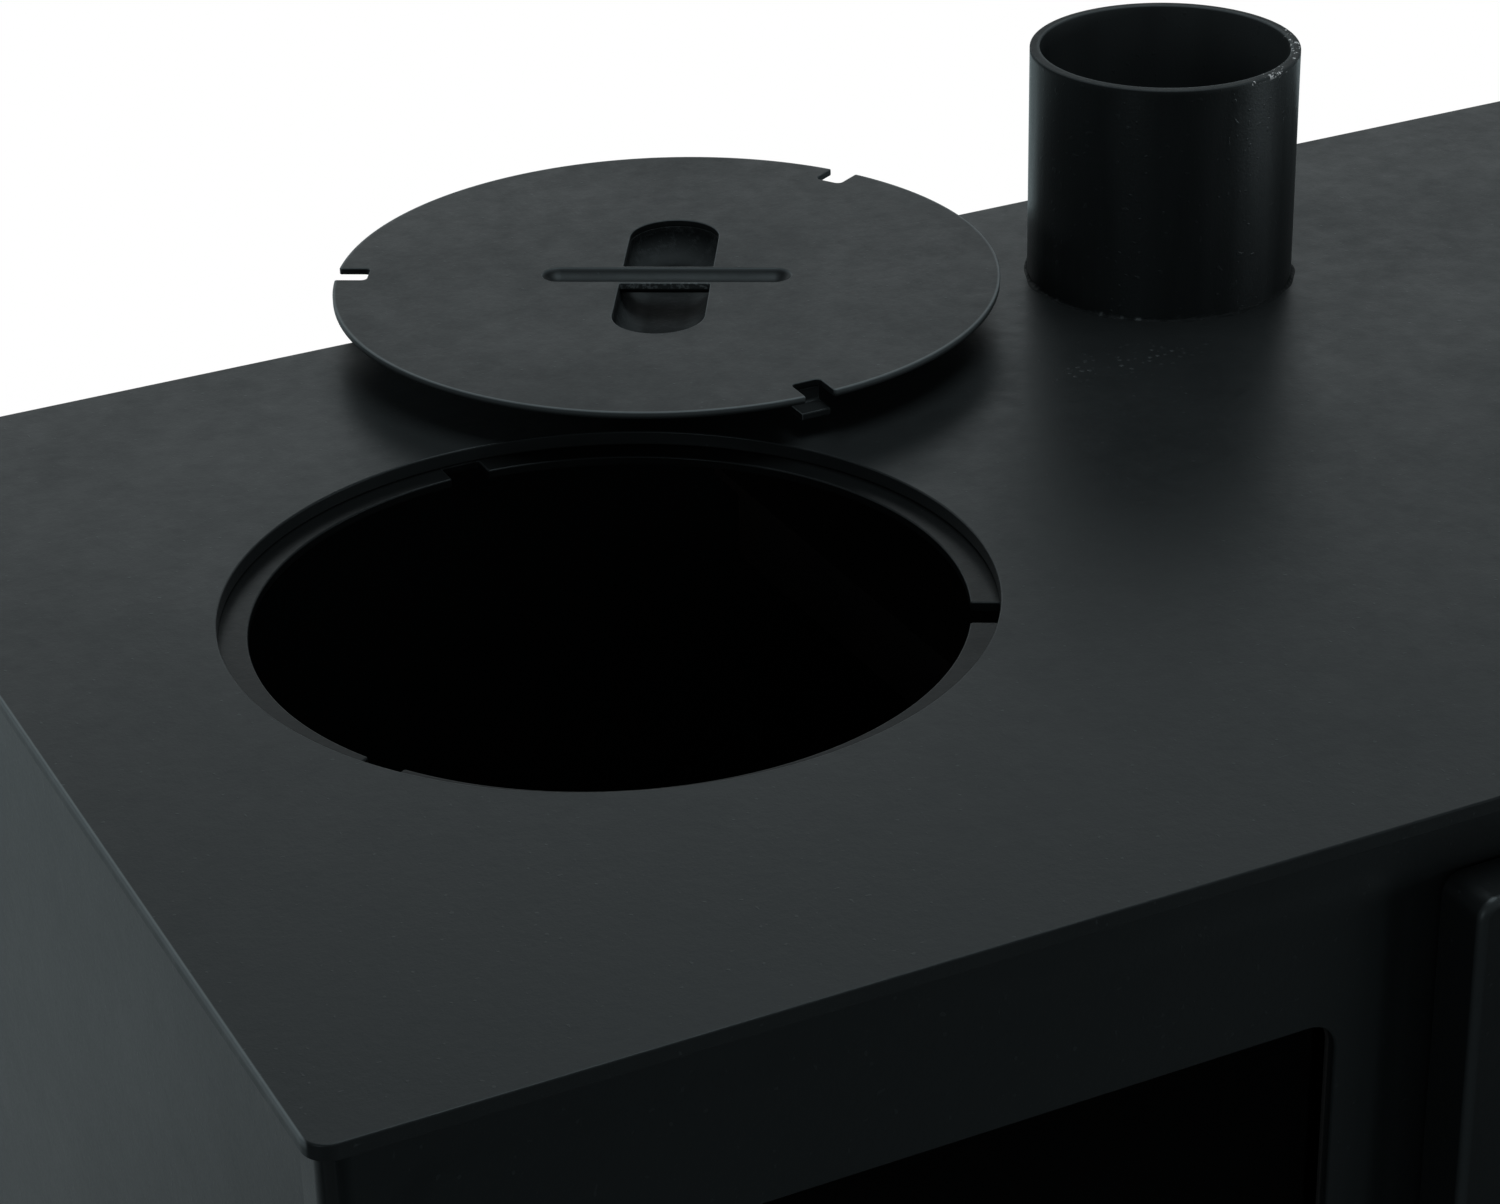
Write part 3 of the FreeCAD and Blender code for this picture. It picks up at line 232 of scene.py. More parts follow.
class Shell:
    """A surface gathered from rows of points, with the direction that each point faces.

    The rim value of a point tells how far it lies on a rounded edge that faces up and out, from 0 on a flat
    to 1.
    The finishes paint it paler, partly as wear and partly as a painted highlight."""

    def __init__(self):
        self.points, self.facing, self.rims, self.faces = [], [], [], []
        self.count = 0

    def add(self, points, facing, rim=0.0):
        """Stores points of any layout and gives back their numbers in that layout."""
        points = np.asarray(points, float)
        layout = points.shape[:-1]
        self.points.append(points.reshape(-1, 3))
        self.facing.append(np.broadcast_to(facing, points.shape).reshape(-1, 3))
        self.rims.append(np.broadcast_to(rim, layout).reshape(-1))
        numbers = self.count + np.arange(len(self.points[-1])).reshape(layout)
        self.count += numbers.size
        return numbers

    def weave(self, numbers, closed=True, flat=False):
        """Joins each row to the next with four-sided faces. Flat faces don't share shading with others."""
        if closed:
            numbers = np.concatenate([numbers, numbers[:, :1]], 1)
        corners = (numbers[:-1, :-1], numbers[:-1, 1:], numbers[1:, 1:], numbers[1:, :-1])
        self.faces.append((np.stack(corners, -1).reshape(-1, 4), flat))

    def cap(self, *loops):
        """Fills the flat area inside the first loop of numbered points and outside the others."""
        points = np.concatenate(self.points)
        triangles = tessellate_polygon([[Vector(points[n]) for n in loop] for loop in loops])
        self.faces.append((np.concatenate(loops)[np.array(triangles)], False))

    def close(self, *shapes):
        """Fills between the last rows of some sets of rows, and then between their first rows."""
        for end in (-1, 0):
            self.cap(*[rows[end] for rows in shapes])

    def sweep(self, place, loop, profile, sag=0.0):
        """Carries a profile round a loop: each point is moved out from the loop by the profile's offset.

        The upper half of the profile is squeezed, so that its top lies lower by the sag along the loop."""
        (flat, out), (steps, sides) = loop, profile
        points = flat[None] + steps[:, None, :1] * out[None]
        facing = place.turn(sides[:, None, :1] * out[None], np.repeat(sides[:, 1:], len(flat), 1))
        level = np.repeat(steps[:, 1:], len(flat), 1)
        upper = np.clip(2 * (level - level.min()) / max(np.ptp(level), 1e-9) - 1, 0, 1)
        rim = np.repeat(np.maximum(2 * abs(sides[:, :1]) * sides[:, 1:], 0), len(flat), 1)
        numbers = self.add(place.put(points, level - sag * upper), facing, rim)
        self.weave(numbers)
        return numbers

    def spin(self, place, *corners, count=48):
        """A turned solid: corners of radius, height and rounding between two small flats on its axis."""
        first, last = (POLE, corners[0][1], 0), (POLE, corners[-1][1], 0)
        self.close(self.sweep(place, spun(count), section(first, *corners, last)))

    def ring(self, place, bore, *corners, count=48):
        """A turned ring: corners of radius, height and rounding, with a plain bore through it."""
        low, high = corners[0][1], corners[-1][1]
        self.sweep(place, spun(count), section((bore, low, 0), *corners, (bore, high, 0.2), (bore, low, 0)))

    def sheet(self, place, outer, holes, low, high, low_round=0.3, high_round=0.5, patches=()):
        """A flat sheet with holes and rounded edges. Patches are rows whose ends are left open in it."""
        profile = sheet_section(low, high, low_round, high_round)
        self.close(*[self.sweep(place, loop, profile) for loop in (outer, *holes)], *patches)

    def made(self, name, material):
        """The shell as an object whose faces are turned the way that their points face."""
        points, facing = np.concatenate(self.points), unit(np.concatenate(self.facing))
        faces, normals = [], []
        for corners, flat in self.faces:
            first, second, third, last = (points[corners[:, n]] for n in (0, 1, 2, -1))
            across = unit(np.cross(third - first, last - second))
            backwards = ((across * facing[corners].mean(1)).sum(1) < 0)[:, None]
            corners = np.where(backwards, corners[:, ::-1], corners)
            across = np.where(backwards, -across, across)
            normals.append(np.repeat(across, corners.shape[1], 0) if flat else facing[corners.reshape(-1)])
            faces += corners.tolist()
        mesh = bpy.data.meshes.new(name)
        mesh.from_pydata((points * MM).tolist(), [], faces)
        mesh.polygons.foreach_set("use_smooth", np.ones(len(faces), bool))
        mesh.normals_split_custom_set(np.concatenate(normals).tolist())
        rims = np.concatenate(self.rims).astype("f")
        mesh.attributes.new("rim", "FLOAT", "POINT").data.foreach_set("value", rims)
        mesh.materials.append(material)
        return linked(name, mesh)

    def piece(self, name, body, slot, material, *replaced):
        """The shell as a piece that rides on a body and stands for CAD nodes."""
        made = self.made(name, material)
        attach(made, body)
        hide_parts(*replaced)


def both_ways(operation):
    """An operator and its reflected form, each of which adds one Math node."""
    def plain(value, other):
        return value.shader.node("Math", {"operation": operation}, {0: value, 1: other})

    def reflected(value, other):
        return value.shader.node("Math", {"operation": operation}, {0: other, 1: value})

    return plain, reflected


class Value:
    """A shader socket that can be used in sums; each operation adds its Math node."""

    def __init__(self, shader, socket):
        self.shader, self.socket = shader, socket

    __add__, __radd__ = both_ways("ADD")
    __sub__, __rsub__ = both_ways("SUBTRACT")
    __mul__, __rmul__ = both_ways("MULTIPLY")
    __truediv__, __rtruediv__ = both_ways("DIVIDE")
    __pow__, __rpow__ = both_ways("POWER")
    __mod__, __rmod__ = both_ways("FLOORED_MODULO")

    def __abs__(self):
        return self.shader.node("Math", {"operation": "ABSOLUTE"}, {0: self})


class Shader:
    """A node tree that is written as expressions."""

    def __init__(self, tree):
        self.tree = tree
        tree.nodes.clear()

    def node(self, kind, settings, sockets, output=0):
        """Adds one node: its settings first, then the values or links of its sockets."""
        made = self.tree.nodes.new("ShaderNode" + kind)
        for key, value in settings.items():
            setattr(made, key, value)
        named = {socket.identifier: socket for socket in made.inputs}
        for key, value in sockets.items():
            socket = made.inputs[key] if isinstance(key, int) or key not in named else named[key]
            if isinstance(value, Value):
                self.tree.links.new(value.socket, socket)
            else:
                socket.default_value = value
        return Value(self, made.outputs[output]) if made.outputs else made

    def axes(self, vector, names="XYZ"):
        """The numbers of a vector along the named axes."""
        return [self.node("SeparateXYZ", {}, {"Vector": vector}, axis) for axis in names]

    def stretched(self, vector, scale):
        return self.node("Mapping", {}, {"Vector": vector, "Scale": scale})

    def noise(self, vector, scale, detail=2.0, roughness=0.5):
        sockets = {"Vector": vector, "Scale": scale, "Detail": detail, "Roughness": roughness}
        return self.node("TexNoise", {}, sockets)

    def cells(self, vector, scale):
        """Distance to the nearest of scattered points, in cells."""
        return self.node("TexVoronoi", {}, {"Vector": vector, "Scale": scale})

    def step(self, value, low, high):
        """A soft step from 0 at low to 1 at high."""
        sockets = {"Value": value, "From Min": low, "From Max": high}
        return self.node("MapRange", {"interpolation_type": "SMOOTHSTEP"}, sockets)

    def edge(self, value, place, low, high):
        """A soft step of a value in metres, between two distances in millimetres from a place."""
        return self.step(value, (place + low) * MM, (place + high) * MM)

    def mix(self, share, first, second):
        """A colour between two colours, each of them a link or red, green and blue."""
        first, second = (end if isinstance(end, Value) else (*end, 1.0) for end in (first, second))
        sockets = {"Factor_Float": share, "A_Color": first, "B_Color": second}
        return self.node("Mix", {"data_type": "RGBA"}, sockets, 2)

    def bump(self, height, depth):
        return self.node("Bump", {}, {"Height": height, "Distance": depth, "Strength": 1.0})

    def rim(self):
        return self.node("Attribute", {"attribute_name": "rim"}, {}, "Fac")

    def ray(self, kind):
        """1 for the rays of one kind."""
        return self.node("LightPath", {}, {}, "Is " + kind + " Ray")

    def surface(self, **sockets):
        """The Principled surface; socket names have _ for a space."""
        values = {key.replace("_", " "): value for key, value in sockets.items()}
        shader = self.node("BsdfPrincipled", {}, values)
        self.node("OutputMaterial", {}, {"Surface": shader})


def finish(name, recipe, *values, **options):
    """A material whose nodes a recipe adds, from its shader and the Object coordinates in metres."""
    made = bpy.data.materials.new(name)
    made.use_nodes = True
    shader = Shader(made.node_tree)
    recipe(shader, shader.node("TexCoord", {}, {}, "Object"), *values, **options)
    return made


def distance(x, y):
    """The length of a flat vector."""
    return (x * x + y * y) ** 0.5


def grey(level):
    """A dark neutral with the paint's faint cold tint."""
    return (level * 0.86, level, level * 1.05)


def inside_firebox(s, spot):
    """1 within the firebox walls and 0 outside them, from the distance to the walls' middle planes."""
    x, y, z = s.axes(spot)
    within = s.edge(abs(x), BODY_X, -0.8, -1.2) * s.edge(abs(y), BODY_Y, -0.8, -1.2)
    return within * s.edge(z, BODY_FOOT, 0.8, 1.2) * s.edge(z, PLATE_FOOT, 0.6, 0.2)


def weld_spatter(s, spot):
    """Small beads thrown on the plate in front of the tube: round dots that thin out from a middle."""
    x, y = s.axes(spot, "XY")
    near = s.step(distance((x - 0.031) / 0.036, (y - 0.062) / 0.012), 1.0, 0.2)
    return s.step(s.cells(spot, 420.0), 0.36, 0.12) * near * s.step(s.noise(spot, 260.0), 0.42, 0.54)


def worn_wall(s, spot):
    """Uneven pale patches in the lid's pocket, most of them up its walls: partly specks, partly painted light
    on the pocket's shaded walls.
    """
    [z] = s.axes(spot, "Z")
    patches = s.step(s.noise(spot, 260.0, 4.0, 0.7), 0.46, 0.66)
    up = s.edge(z, LID_TOP + POCKET_FOOT + POCKET_SHEET, 0.8, 4.5)
    return (0.15 + 0.85 * patches) * (0.3 + 0.7 * up)


def plate_end_highlight(s, spot):
    """A painted highlight along the upper edge of the plate's two ends."""
    x, z = s.axes(spot, "XZ")
    return s.edge(abs(x), PLATE_X, -0.8, -0.3) * (0.3 + 0.7 * s.edge(z, PLATE_TOP, -2.2, -0.8))


def lid_edge_light_and_specks(s, spot):
    """Painted light on the lid's edge face round its rim; along both sides of the bar between its slots, a
    faint painted light with paler specks of paint.
    """
    x, y, z = s.axes(spot)
    east, north = x - LID[0] * MM, y - LID[1] * MM
    turn = math.radians(LID_TURN)
    along = abs(math.cos(turn) * east + math.sin(turn) * north)
    across = abs(math.cos(turn) * north - math.sin(turn) * east)
    rim = s.edge(distance(east, north), LID_RADIUS, -1.0, -0.4) * s.edge(z, LID_TOP, -1.6, -0.5)
    bar = s.edge(along, GRIP_BAR_HALF, -0.4, -0.1) * s.edge(along, GRIP_BAR_HALF, 0.6, 0.2)
    bar = bar * s.edge(across, GRIP_SLOT_HALF_WIDTH, 0.1, -0.2)
    return 0.6 * rim + bar * (0.2 + 0.8 * s.step(s.noise(spot, 900.0), 0.50, 0.62))


def stove_paint(s, spot, level, rough, specular=0.22, rim_level=0.045, uneven=1.0, inside=False, extra=None,
                worn=None):
    """Heat-resistant paint: a fine sprayed grain, faint blotches, pale dust nibs, and upward rounded edges
    painted paler, partly as thin paint and partly as a painted highlight.

    Inside the firebox it is black with soot. The extra mask, where given, stands up as paler dots, and the
    second
    mask, where given, is painted paler: painted light, with specks of paint where that mask has them."""
    grain = s.noise(spot, 1500.0, 2.0, 0.6)
    peel = s.noise(spot, 420.0, 1.0)
    blotch = s.noise(spot, 14.0, 4.0, 0.65)
    mottle = s.noise(spot, 150.0, 3.0, 0.7)
    nibs = s.step(s.noise(spot, 700.0, 0.0), 0.78, 0.86)
    colour = s.mix(0.62 + 0.34 * grain + 0.42 * blotch, grey(0.0), grey(level))
    colour = s.mix(nibs * 0.40, colour, grey(level * 3.0))
    # Upward rounded edges painted paler: partly thin paint, partly a painted highlight.
    colour = s.mix(s.rim() * 0.5, colour, grey(rim_level))
    roughness = rough + uneven * (0.20 * (blotch - 0.5) + 0.18 * (mottle - 0.5)) + 0.10 * (grain - 0.5)
    height = grain * 0.4 + peel * 0.6 + nibs * 0.4
    if extra:
        dots = extra(s, spot)
        colour = s.mix(dots * 0.4, colour, grey(level * 6.0))
        height = height + dots * 3.0
    # Painted paler: painted light, with specks of paint where the mask has them.
    if worn:
        colour = s.mix(worn(s, spot), colour, grey(0.12))
    if inside:
        soot = inside_firebox(s, spot)
        colour = s.mix(soot, colour, (0.0022, 0.0021, 0.0020))
        roughness = roughness + 0.4 * soot
    s.surface(Base_Color=colour, Roughness=roughness, Specular_IOR_Level=specular, Specular_Tint=COLD,
              Normal=s.bump(height, 0.00005))


def flue_paint(s, spot):
    """Paint on the tube: faint upright brush streaks, specks, and bare steel where the rim has chipped.

    Its bore is painted paler in uneven bands as painted light, and its upward rounded edges as a painted
    highlight.
    """
    x, y, z = s.axes(spot)
    east, north = x - FLUE[0] * MM, y - FLUE[1] * MM
    right = s.step(0.75 * east - 0.66 * north, 0.022, 0.033)
    bore = s.edge(distance(east, north), FLUE_BORE, 1.2, 0.5)
    streak = s.noise(s.stretched(spot, (1.0, 1.0, 0.09)), 160.0, 3.0, 0.6)
    grain = s.noise(spot, 1300.0, 2.0, 0.6)
    specks = s.step(s.noise(spot, 620.0, 0.0), 0.74, 0.82)
    runs = s.noise(s.stretched(spot, (1.0, 1.0, 0.25)), 55.0, 2.0)
    colour = s.mix(0.45 + 0.5 * streak + 0.5 * runs, grey(0.0), grey(0.0120))
    # Paler bore in uneven bands: painted light inside the tube.
    colour = s.mix(bore * (0.35 + 0.9 * runs), colour, grey(0.042))
    colour = s.mix(specks * 0.3, colour, grey(0.024))
    # Upward rounded edges painted paler: a painted highlight.
    colour = s.mix(s.rim() * 0.3, colour, grey(0.060))
    top = s.edge(z, FLUE_TOP, -1.5, -0.5)
    bare = top * s.step(s.noise(spot, 330.0, 3.0, 0.7), 0.77 - 0.19 * right, 0.81 - 0.19 * right)
    colour = s.mix(bare, colour, (0.50, 0.51, 0.52))
    roughness = 0.36 + 0.22 * (streak - 0.5) + 0.12 * (grain - 0.5) + 0.25 * top
    height = streak * 0.8 + grain * 0.5 + specks * 0.5 - bare * 0.8
    s.surface(Base_Color=colour, Roughness=roughness, Metallic=bare * 0.35, Specular_IOR_Level=0.20,
              Specular_Tint=COLD, Normal=s.bump(height, 0.00007))


def scaled_steel(s, spot):
    """Bare firebox steel: grey mill scale with brown and bluish heat patches."""
    patch = s.noise(spot, 16.0, 5.0, 0.65)
    grain = s.noise(spot, 700.0, 3.0, 0.6)
    colour = s.mix(s.step(patch, 0.35, 0.65), (0.030, 0.029, 0.030), (0.060, 0.046, 0.036))
    colour = s.mix(grain * 0.6, colour, (0.018, 0.018, 0.020))
    s.surface(Base_Color=colour, Roughness=0.45 + 0.3 * patch, Metallic=0.55, Normal=s.bump(grain, 0.00010))


def cast_iron(s, spot):
    """Cast grate bars: a sandy skin with ash in its hollows."""
    sand = s.noise(spot, 650.0, 4.0, 0.65)
    ash = s.step(s.noise(spot, 38.0, 4.0, 0.6), 0.48, 0.72)
    colour = s.mix(sand, (0.010, 0.010, 0.010), (0.032, 0.030, 0.029))
    colour = s.mix(ash * 0.5, colour, (0.085, 0.080, 0.074))
    s.surface(Base_Color=colour, Roughness=0.72 + 0.2 * ash, Metallic=0.25, Normal=s.bump(sand, 0.00035))


def zinc_plate(s, spot):
    """Zinc plated steel: a bright even metal, duller in patches, and paler on its upward rounded edges as a
    painted highlight.
    """
    patch = s.noise(spot, 90.0, 4.0, 0.6)
    brush = s.noise(s.stretched(spot, (1.0, 0.08, 1.0)), 1400.0, 2.0)
    colour = s.mix(patch, (0.26, 0.265, 0.27), (0.46, 0.465, 0.47))
    # Upward rounded edges painted paler: a painted highlight.
    colour = s.mix(s.rim() * 0.6, colour, (0.62, 0.62, 0.62))
    s.surface(Base_Color=colour, Roughness=0.28 + 0.22 * patch + 0.08 * brush, Metallic=0.95,
              Normal=s.bump(brush, 0.00002))


def window_pane(s, spot):
    """Heat-proof glass with a smoke film that is thicker towards its edges and corners."""
    x, z = s.axes(spot, "XZ")
    middle_x, middle_z = (WINDOW[0] + WINDOW[1]) / 2 * MM, (WINDOW[2] + WINDOW[3]) / 2 * MM
    edge = ((abs(x - middle_x) / 0.1) ** 4.0 + (abs(z - middle_z) / 0.096) ** 4.0) ** 0.25
    film = s.step(edge + 0.25 * s.noise(spot, 26.0, 4.0, 0.6), 0.70, 1.20)
    colour = s.mix(film, (0.10, 0.098, 0.094), (0.012, 0.011, 0.010))
    s.surface(Base_Color=colour, Roughness=0.04 + 0.10 * film, Transmission_Weight=1.0, IOR=1.12)


def fire_rope(s, spot):
    """Knitted glass fibre: pale crests and greyer hollows, the hollows a painted shade; fine fibres, smoked a
    little in places.
    """
    fibre = s.noise(spot, 2200.0, 3.0, 0.7)
    smoke = s.step(s.noise(spot, 18.0, 4.0, 0.6), 0.45, 0.75)
    colour = s.mix(s.rim() * 0.75 + fibre * 0.25, (0.20, 0.19, 0.175), (0.56, 0.54, 0.50))
    colour = s.mix(smoke * 0.55, colour, (0.10, 0.09, 0.08))
    s.surface(Base_Color=colour, Roughness=0.85 + 0.1 * fibre, Sheen_Weight=0.2,
              Normal=s.bump(fibre, 0.00025))


def black_tape(s, spot):
    """Woven glass tape blackened with graphite: two crossing rows of ribs."""
    x, z = s.axes(spot, "XZ")
    weave = abs((x * 900.0) % 2.0 - 1.0) * abs((z * 900.0) % 2.0 - 1.0)
    fibre = s.noise(spot, 2200.0, 3.0, 0.7)
    colour = s.mix(weave * 0.7 + fibre * 0.3, (0.0015, 0.0015, 0.0015), (0.007, 0.007, 0.007))
    s.surface(Base_Color=colour, Roughness=0.7 + 0.2 * fibre, Normal=s.bump(weave + fibre * 0.4, 0.00015))


def mineral_board(s, spot):
    """Pressed mineral board: a sandy buff with short fibres and flakes."""
    flake = s.noise(s.stretched(spot, (1.0, 0.4, 1.0)), 240.0, 4.0, 0.65)
    fibre = s.noise(s.stretched(spot, (0.15, 1.0, 1.0)), 900.0, 2.0)
    colour = s.mix(flake, (0.34, 0.27, 0.19), (0.60, 0.50, 0.36))
    colour = s.mix(s.step(fibre, 0.55, 0.75) * 0.5, colour, (0.66, 0.58, 0.44))
    s.surface(Base_Color=colour, Roughness=0.8 + 0.12 * flake, Normal=s.bump(flake + fibre, 0.0002))


def turned_wood(s, spot):
    """Oiled beech-like wood: growth layers across the grip, long pores and short dark flecks along it."""
    x, z = s.axes(spot, "XZ")
    wander = s.noise(s.stretched(spot, (1.0, 0.2, 1.0)), 70.0, 3.0)
    layer = abs(((x + 0.6 * z) * 260.0 + wander * 3.0) % 2.0 - 1.0)
    pores = s.step(s.noise(s.stretched(spot, (1.0, 0.06, 1.0)), 1500.0, 2.0), 0.58, 0.72)
    flecks = s.step(s.noise(s.stretched(spot, (1.0, 0.22, 1.0)), 800.0, 1.0), 0.66, 0.74)
    colour = s.mix(layer, (0.115, 0.052, 0.022), (0.225, 0.112, 0.050))
    colour = s.mix(pores * 0.6, colour, (0.062, 0.027, 0.012))
    colour = s.mix(flecks * 0.5, colour, (0.075, 0.034, 0.016))
    s.surface(Base_Color=colour, Roughness=0.42 + 0.15 * pores, Normal=s.bump(0 - pores, 0.00012))


def foot_rubber(s, spot):
    """Moulded rubber: matt black with a dusty bloom, and paler upward rounded edges, partly scuffs and partly
    a painted highlight.
    """
    grain = s.noise(spot, 1100.0, 2.0)
    bloom = s.noise(spot, 60.0, 4.0, 0.6)
    colour = s.mix(bloom, (0.010, 0.010, 0.010), (0.026, 0.026, 0.025))
    # Upward rounded edges painted paler: partly scuffs, partly a painted highlight.
    colour = s.mix(s.rim() * 0.4, colour, (0.05, 0.05, 0.048))
    s.surface(Base_Color=colour, Roughness=0.66 + 0.2 * bloom, Normal=s.bump(grain, 0.00008))


def ground_sheet(s, spot):
    """Pale ground that is white to the camera far off.

    In front of the stove its reflections are held down, as by a dark card laid out of sight. Behind, beside
    and to the left of the stove it glows white to glossy rays only: painted reflections of a bright ground in
    the stove's sides."""
    x, y = s.axes(spot, "XY")
    away = s.step((x * x * 0.7 + y * y) ** 0.5, 0.45, 0.95)
    behind = s.step(y, -0.05, 0.55)
    beside = s.step(x, 0.30, 0.80) * s.step(y, -0.45, -0.10) * (1 - behind)
    left = s.step(0 - x, 0.25, 0.45)
    seen, shiny = s.ray("Camera") + s.ray("Transmission"), s.ray("Glossy")
    shade = s.node("BsdfDiffuse", {}, {"Color": (0.57, 0.61, 0.617, 1.0)})
    # Glossy rays see the ground's glow with a cold tint: part of the painted reflections.
    tint = s.mix(shiny, (1.0, 1.0, 1.0), (0.80, 1.0, 1.05))
    white = s.node("Emission", {}, {"Color": tint, "Strength": 1.0})
    card = s.node("Emission", {}, {"Color": (0.0, 0.0, 0.0, 1.0), "Strength": 0.0})
    held = shiny * (1 - behind) * (1 - beside) * (0.80 + 0.17 * left)
    darkened = s.node("MixShader", {}, {0: held, 1: shade, 2: card})
    far_off = s.step(distance(x, y), 0.75, 1.40)
    # Glow that only glossy rays see: painted reflections of a bright ground in the stove's sides.
    glow = behind * (0.22 * far_off + 0.38 * s.step(x, -0.35, 0.10)) + 0.45 * beside
    beyond = s.step(y, 0.22, 0.60) * left
    share = seen * (0.50 + 0.50 * away) + shiny * (away * glow + 0.05 * beyond)
    both = s.node("MixShader", {}, {0: share, 1: darkened, 2: white})
    s.node("OutputMaterial", {}, {"Surface": both})


COLD = (0.84, 1.0, 1.05, 1.0)
PAINT = finish("stove_paint", stove_paint, 0.0075, 0.34, 0.36, 0.010, uneven=0.3, inside=True)
# A lighter copy of the stove paint: painted light on the top plate.
LIT_PLATE_PAINT = finish("lit_plate_paint", stove_paint, 0.0125, 0.40, 0.17, 0.012, inside=True, extra=weld_spatter,
                     worn=plate_end_highlight)
# A darker copy of the stove paint: painted shade on the seat under the plate's edge.
SHADED_RING_PAINT = finish("shaded_ring_paint", stove_paint, 0.0045, 0.34, 0.09, 0.02)
LID_PAINT = finish("lid_paint", stove_paint, 0.0105, 0.43, 0.16, 0.12, worn=lid_edge_light_and_specks)
# A lighter copy of the stove paint: painted light in the shaded finger pocket.
LIT_POCKET_PAINT = finish("lit_pocket_paint", stove_paint, 0.0110, 0.62, 0.05, extra=worn_wall)
WELD_PAINT = finish("weld_paint", stove_paint, 0.0060, 0.60, 0.08, 0.110)
DOOR_PAINT = finish("door_paint", stove_paint, 0.0070, 0.36, 0.20)
FRAME_PAINT = finish("frame_paint", stove_paint, 0.0085, 0.42)
FLUE_PAINT, SCALED_STEEL, CAST_IRON, ZINC, PANE, TAPE, BOARD, WOOD, RUBBER, ROPE = (
    finish(recipe.__name__, recipe) for recipe in (
        flue_paint, scaled_steel, cast_iron, zinc_plate, window_pane, black_tape, mineral_board, turned_wood,
        foot_rubber, fire_rope))


def make_top_plate():
    """A flat plate with round corners, holed for cooking and for the flue."""
    shell = Shell()
    edge = box_outline((-PLATE_X, PLATE_X, -PLATE_Y, PLATE_Y), PLATE_CORNER)
    holes = [circle(HOB, HOB_RADIUS, True, 360), circle(FLUE, FLUE_HOLE, True, 120)]
    shell.sheet(LYING, edge, holes, PLATE_FOOT, PLATE_TOP, 0.4, 0.5)
    shell.piece("plate_top", "stove_body", "black_paint", LIT_PLATE_PAINT, "top_plate")


def cut_circle(centre, radius, width, root, rounds, angles, hole):
    """A circle with square cuts that run from its edge to a root radius, as one loop.

    Between the cuts the points lie at equal angles; each cut adds two corners at the circle, where half
    its width is the circle's radius times the sine of an angle, and two at its root."""
    half, between = width / 2, 110
    clear = math.asin(half / radius)
    mouth = radius * math.cos(clear)
    cut = np.array([(mouth, -half), (root, -half), (root, half), (mouth, half)])
    turns = np.radians(angles)
    corners = []
    for turn, following in zip(turns, np.append(turns[1:], turns[0] + 2 * math.pi)):
        arc = np.linspace(turn + clear, following - clear, between + 2)[1:-1]
        corners += [cut @ compass(np.array([turn, turn + math.pi / 2])), radius * compass(arc)]
    radii = np.tile(np.append(np.array(rounds)[[0, 1, 1, 0]], np.zeros(between)), len(turns))
    return outline(np.concatenate(corners) + np.asarray(centre), radii, hole)


def make_hob_ring():
    """A flat ring under the plate, whose slotted inner edge carries the lid."""
    shell = Shell()
    seat = cut_circle(HOB, SEAT_RADIUS, SEAT_SLOT, HOB_RADIUS, (0.7, 0.8), SEAT_SLOT_ANGLES, True)
    shell.sheet(LYING, circle(HOB, RING_RADIUS), [seat], PLATE_FOOT - RING_SHEET, PLATE_FOOT, 0.4, 0.5)
    shell.piece("seat_ring", "stove_body", "black_paint", SHADED_RING_PAINT, "hob_ring")


def groove_height(reach):
    """The height of the pressed groove at a distance from its middle line, 0 from its edge outwards.

    An arc passes through the groove's depth at its middle and the flat at its half width. The height is
    the lower of the arc and the flat, smoothed by half of their difference less its rounded size."""
    reach = np.minimum(abs(np.append(reach, GROOVE_EDGE)), GROOVE_EDGE)
    radius = (GROOVE_HALF_WIDTH ** 2 + GROOVE_DEPTH ** 2) / (2 * GROOVE_DEPTH)
    arc = radius - GROOVE_DEPTH - np.sqrt(radius ** 2 - reach ** 2)
    height = 0.5 * (arc - np.sqrt(arc ** 2 + 0.2 ** 2))
    return height[:-1] - height[-1]


def groove_rows(shell, place, top, facing):
    """A pressed groove: rows of shrinking round-ended bars that follow the groove's height."""
    reach = np.linspace(GROOVE_EDGE, 0.25, 19)
    height = groove_height(reach)
    slope = np.gradient(height, reach)
    slope[0] = 0.0
    half = GROOVE_HALF - GROOVE_HALF_WIDTH
    end = compass(np.linspace(0, math.pi, 25))
    loop = np.concatenate([end, -end])
    flat = reach[:, None, None] * loop[None]
    flat[..., 1] += np.repeat([half, -half], len(end))
    heights = np.repeat(top + height[:, None], len(loop), 1)
    sides = np.repeat(-slope[:, None], len(loop), 1)
    normals = unit(place.turn(sides[..., None] * loop[None], np.ones(sides.shape))) * facing
    # Paler lips along both edges of the groove: partly wear, partly a painted highlight.
    rim = np.exp(-((reach - GROOVE_HALF_WIDTH) / 0.35) ** 2)[:, None]
    rim[0] = 0.0
    numbers = shell.add(place.put(flat, heights), normals, rim)
    shell.weave(numbers)
    one_end, other_end = np.split(numbers[-1], 2)
    shell.weave(np.stack([one_end, other_end[::-1]]), closed=False)
    return numbers


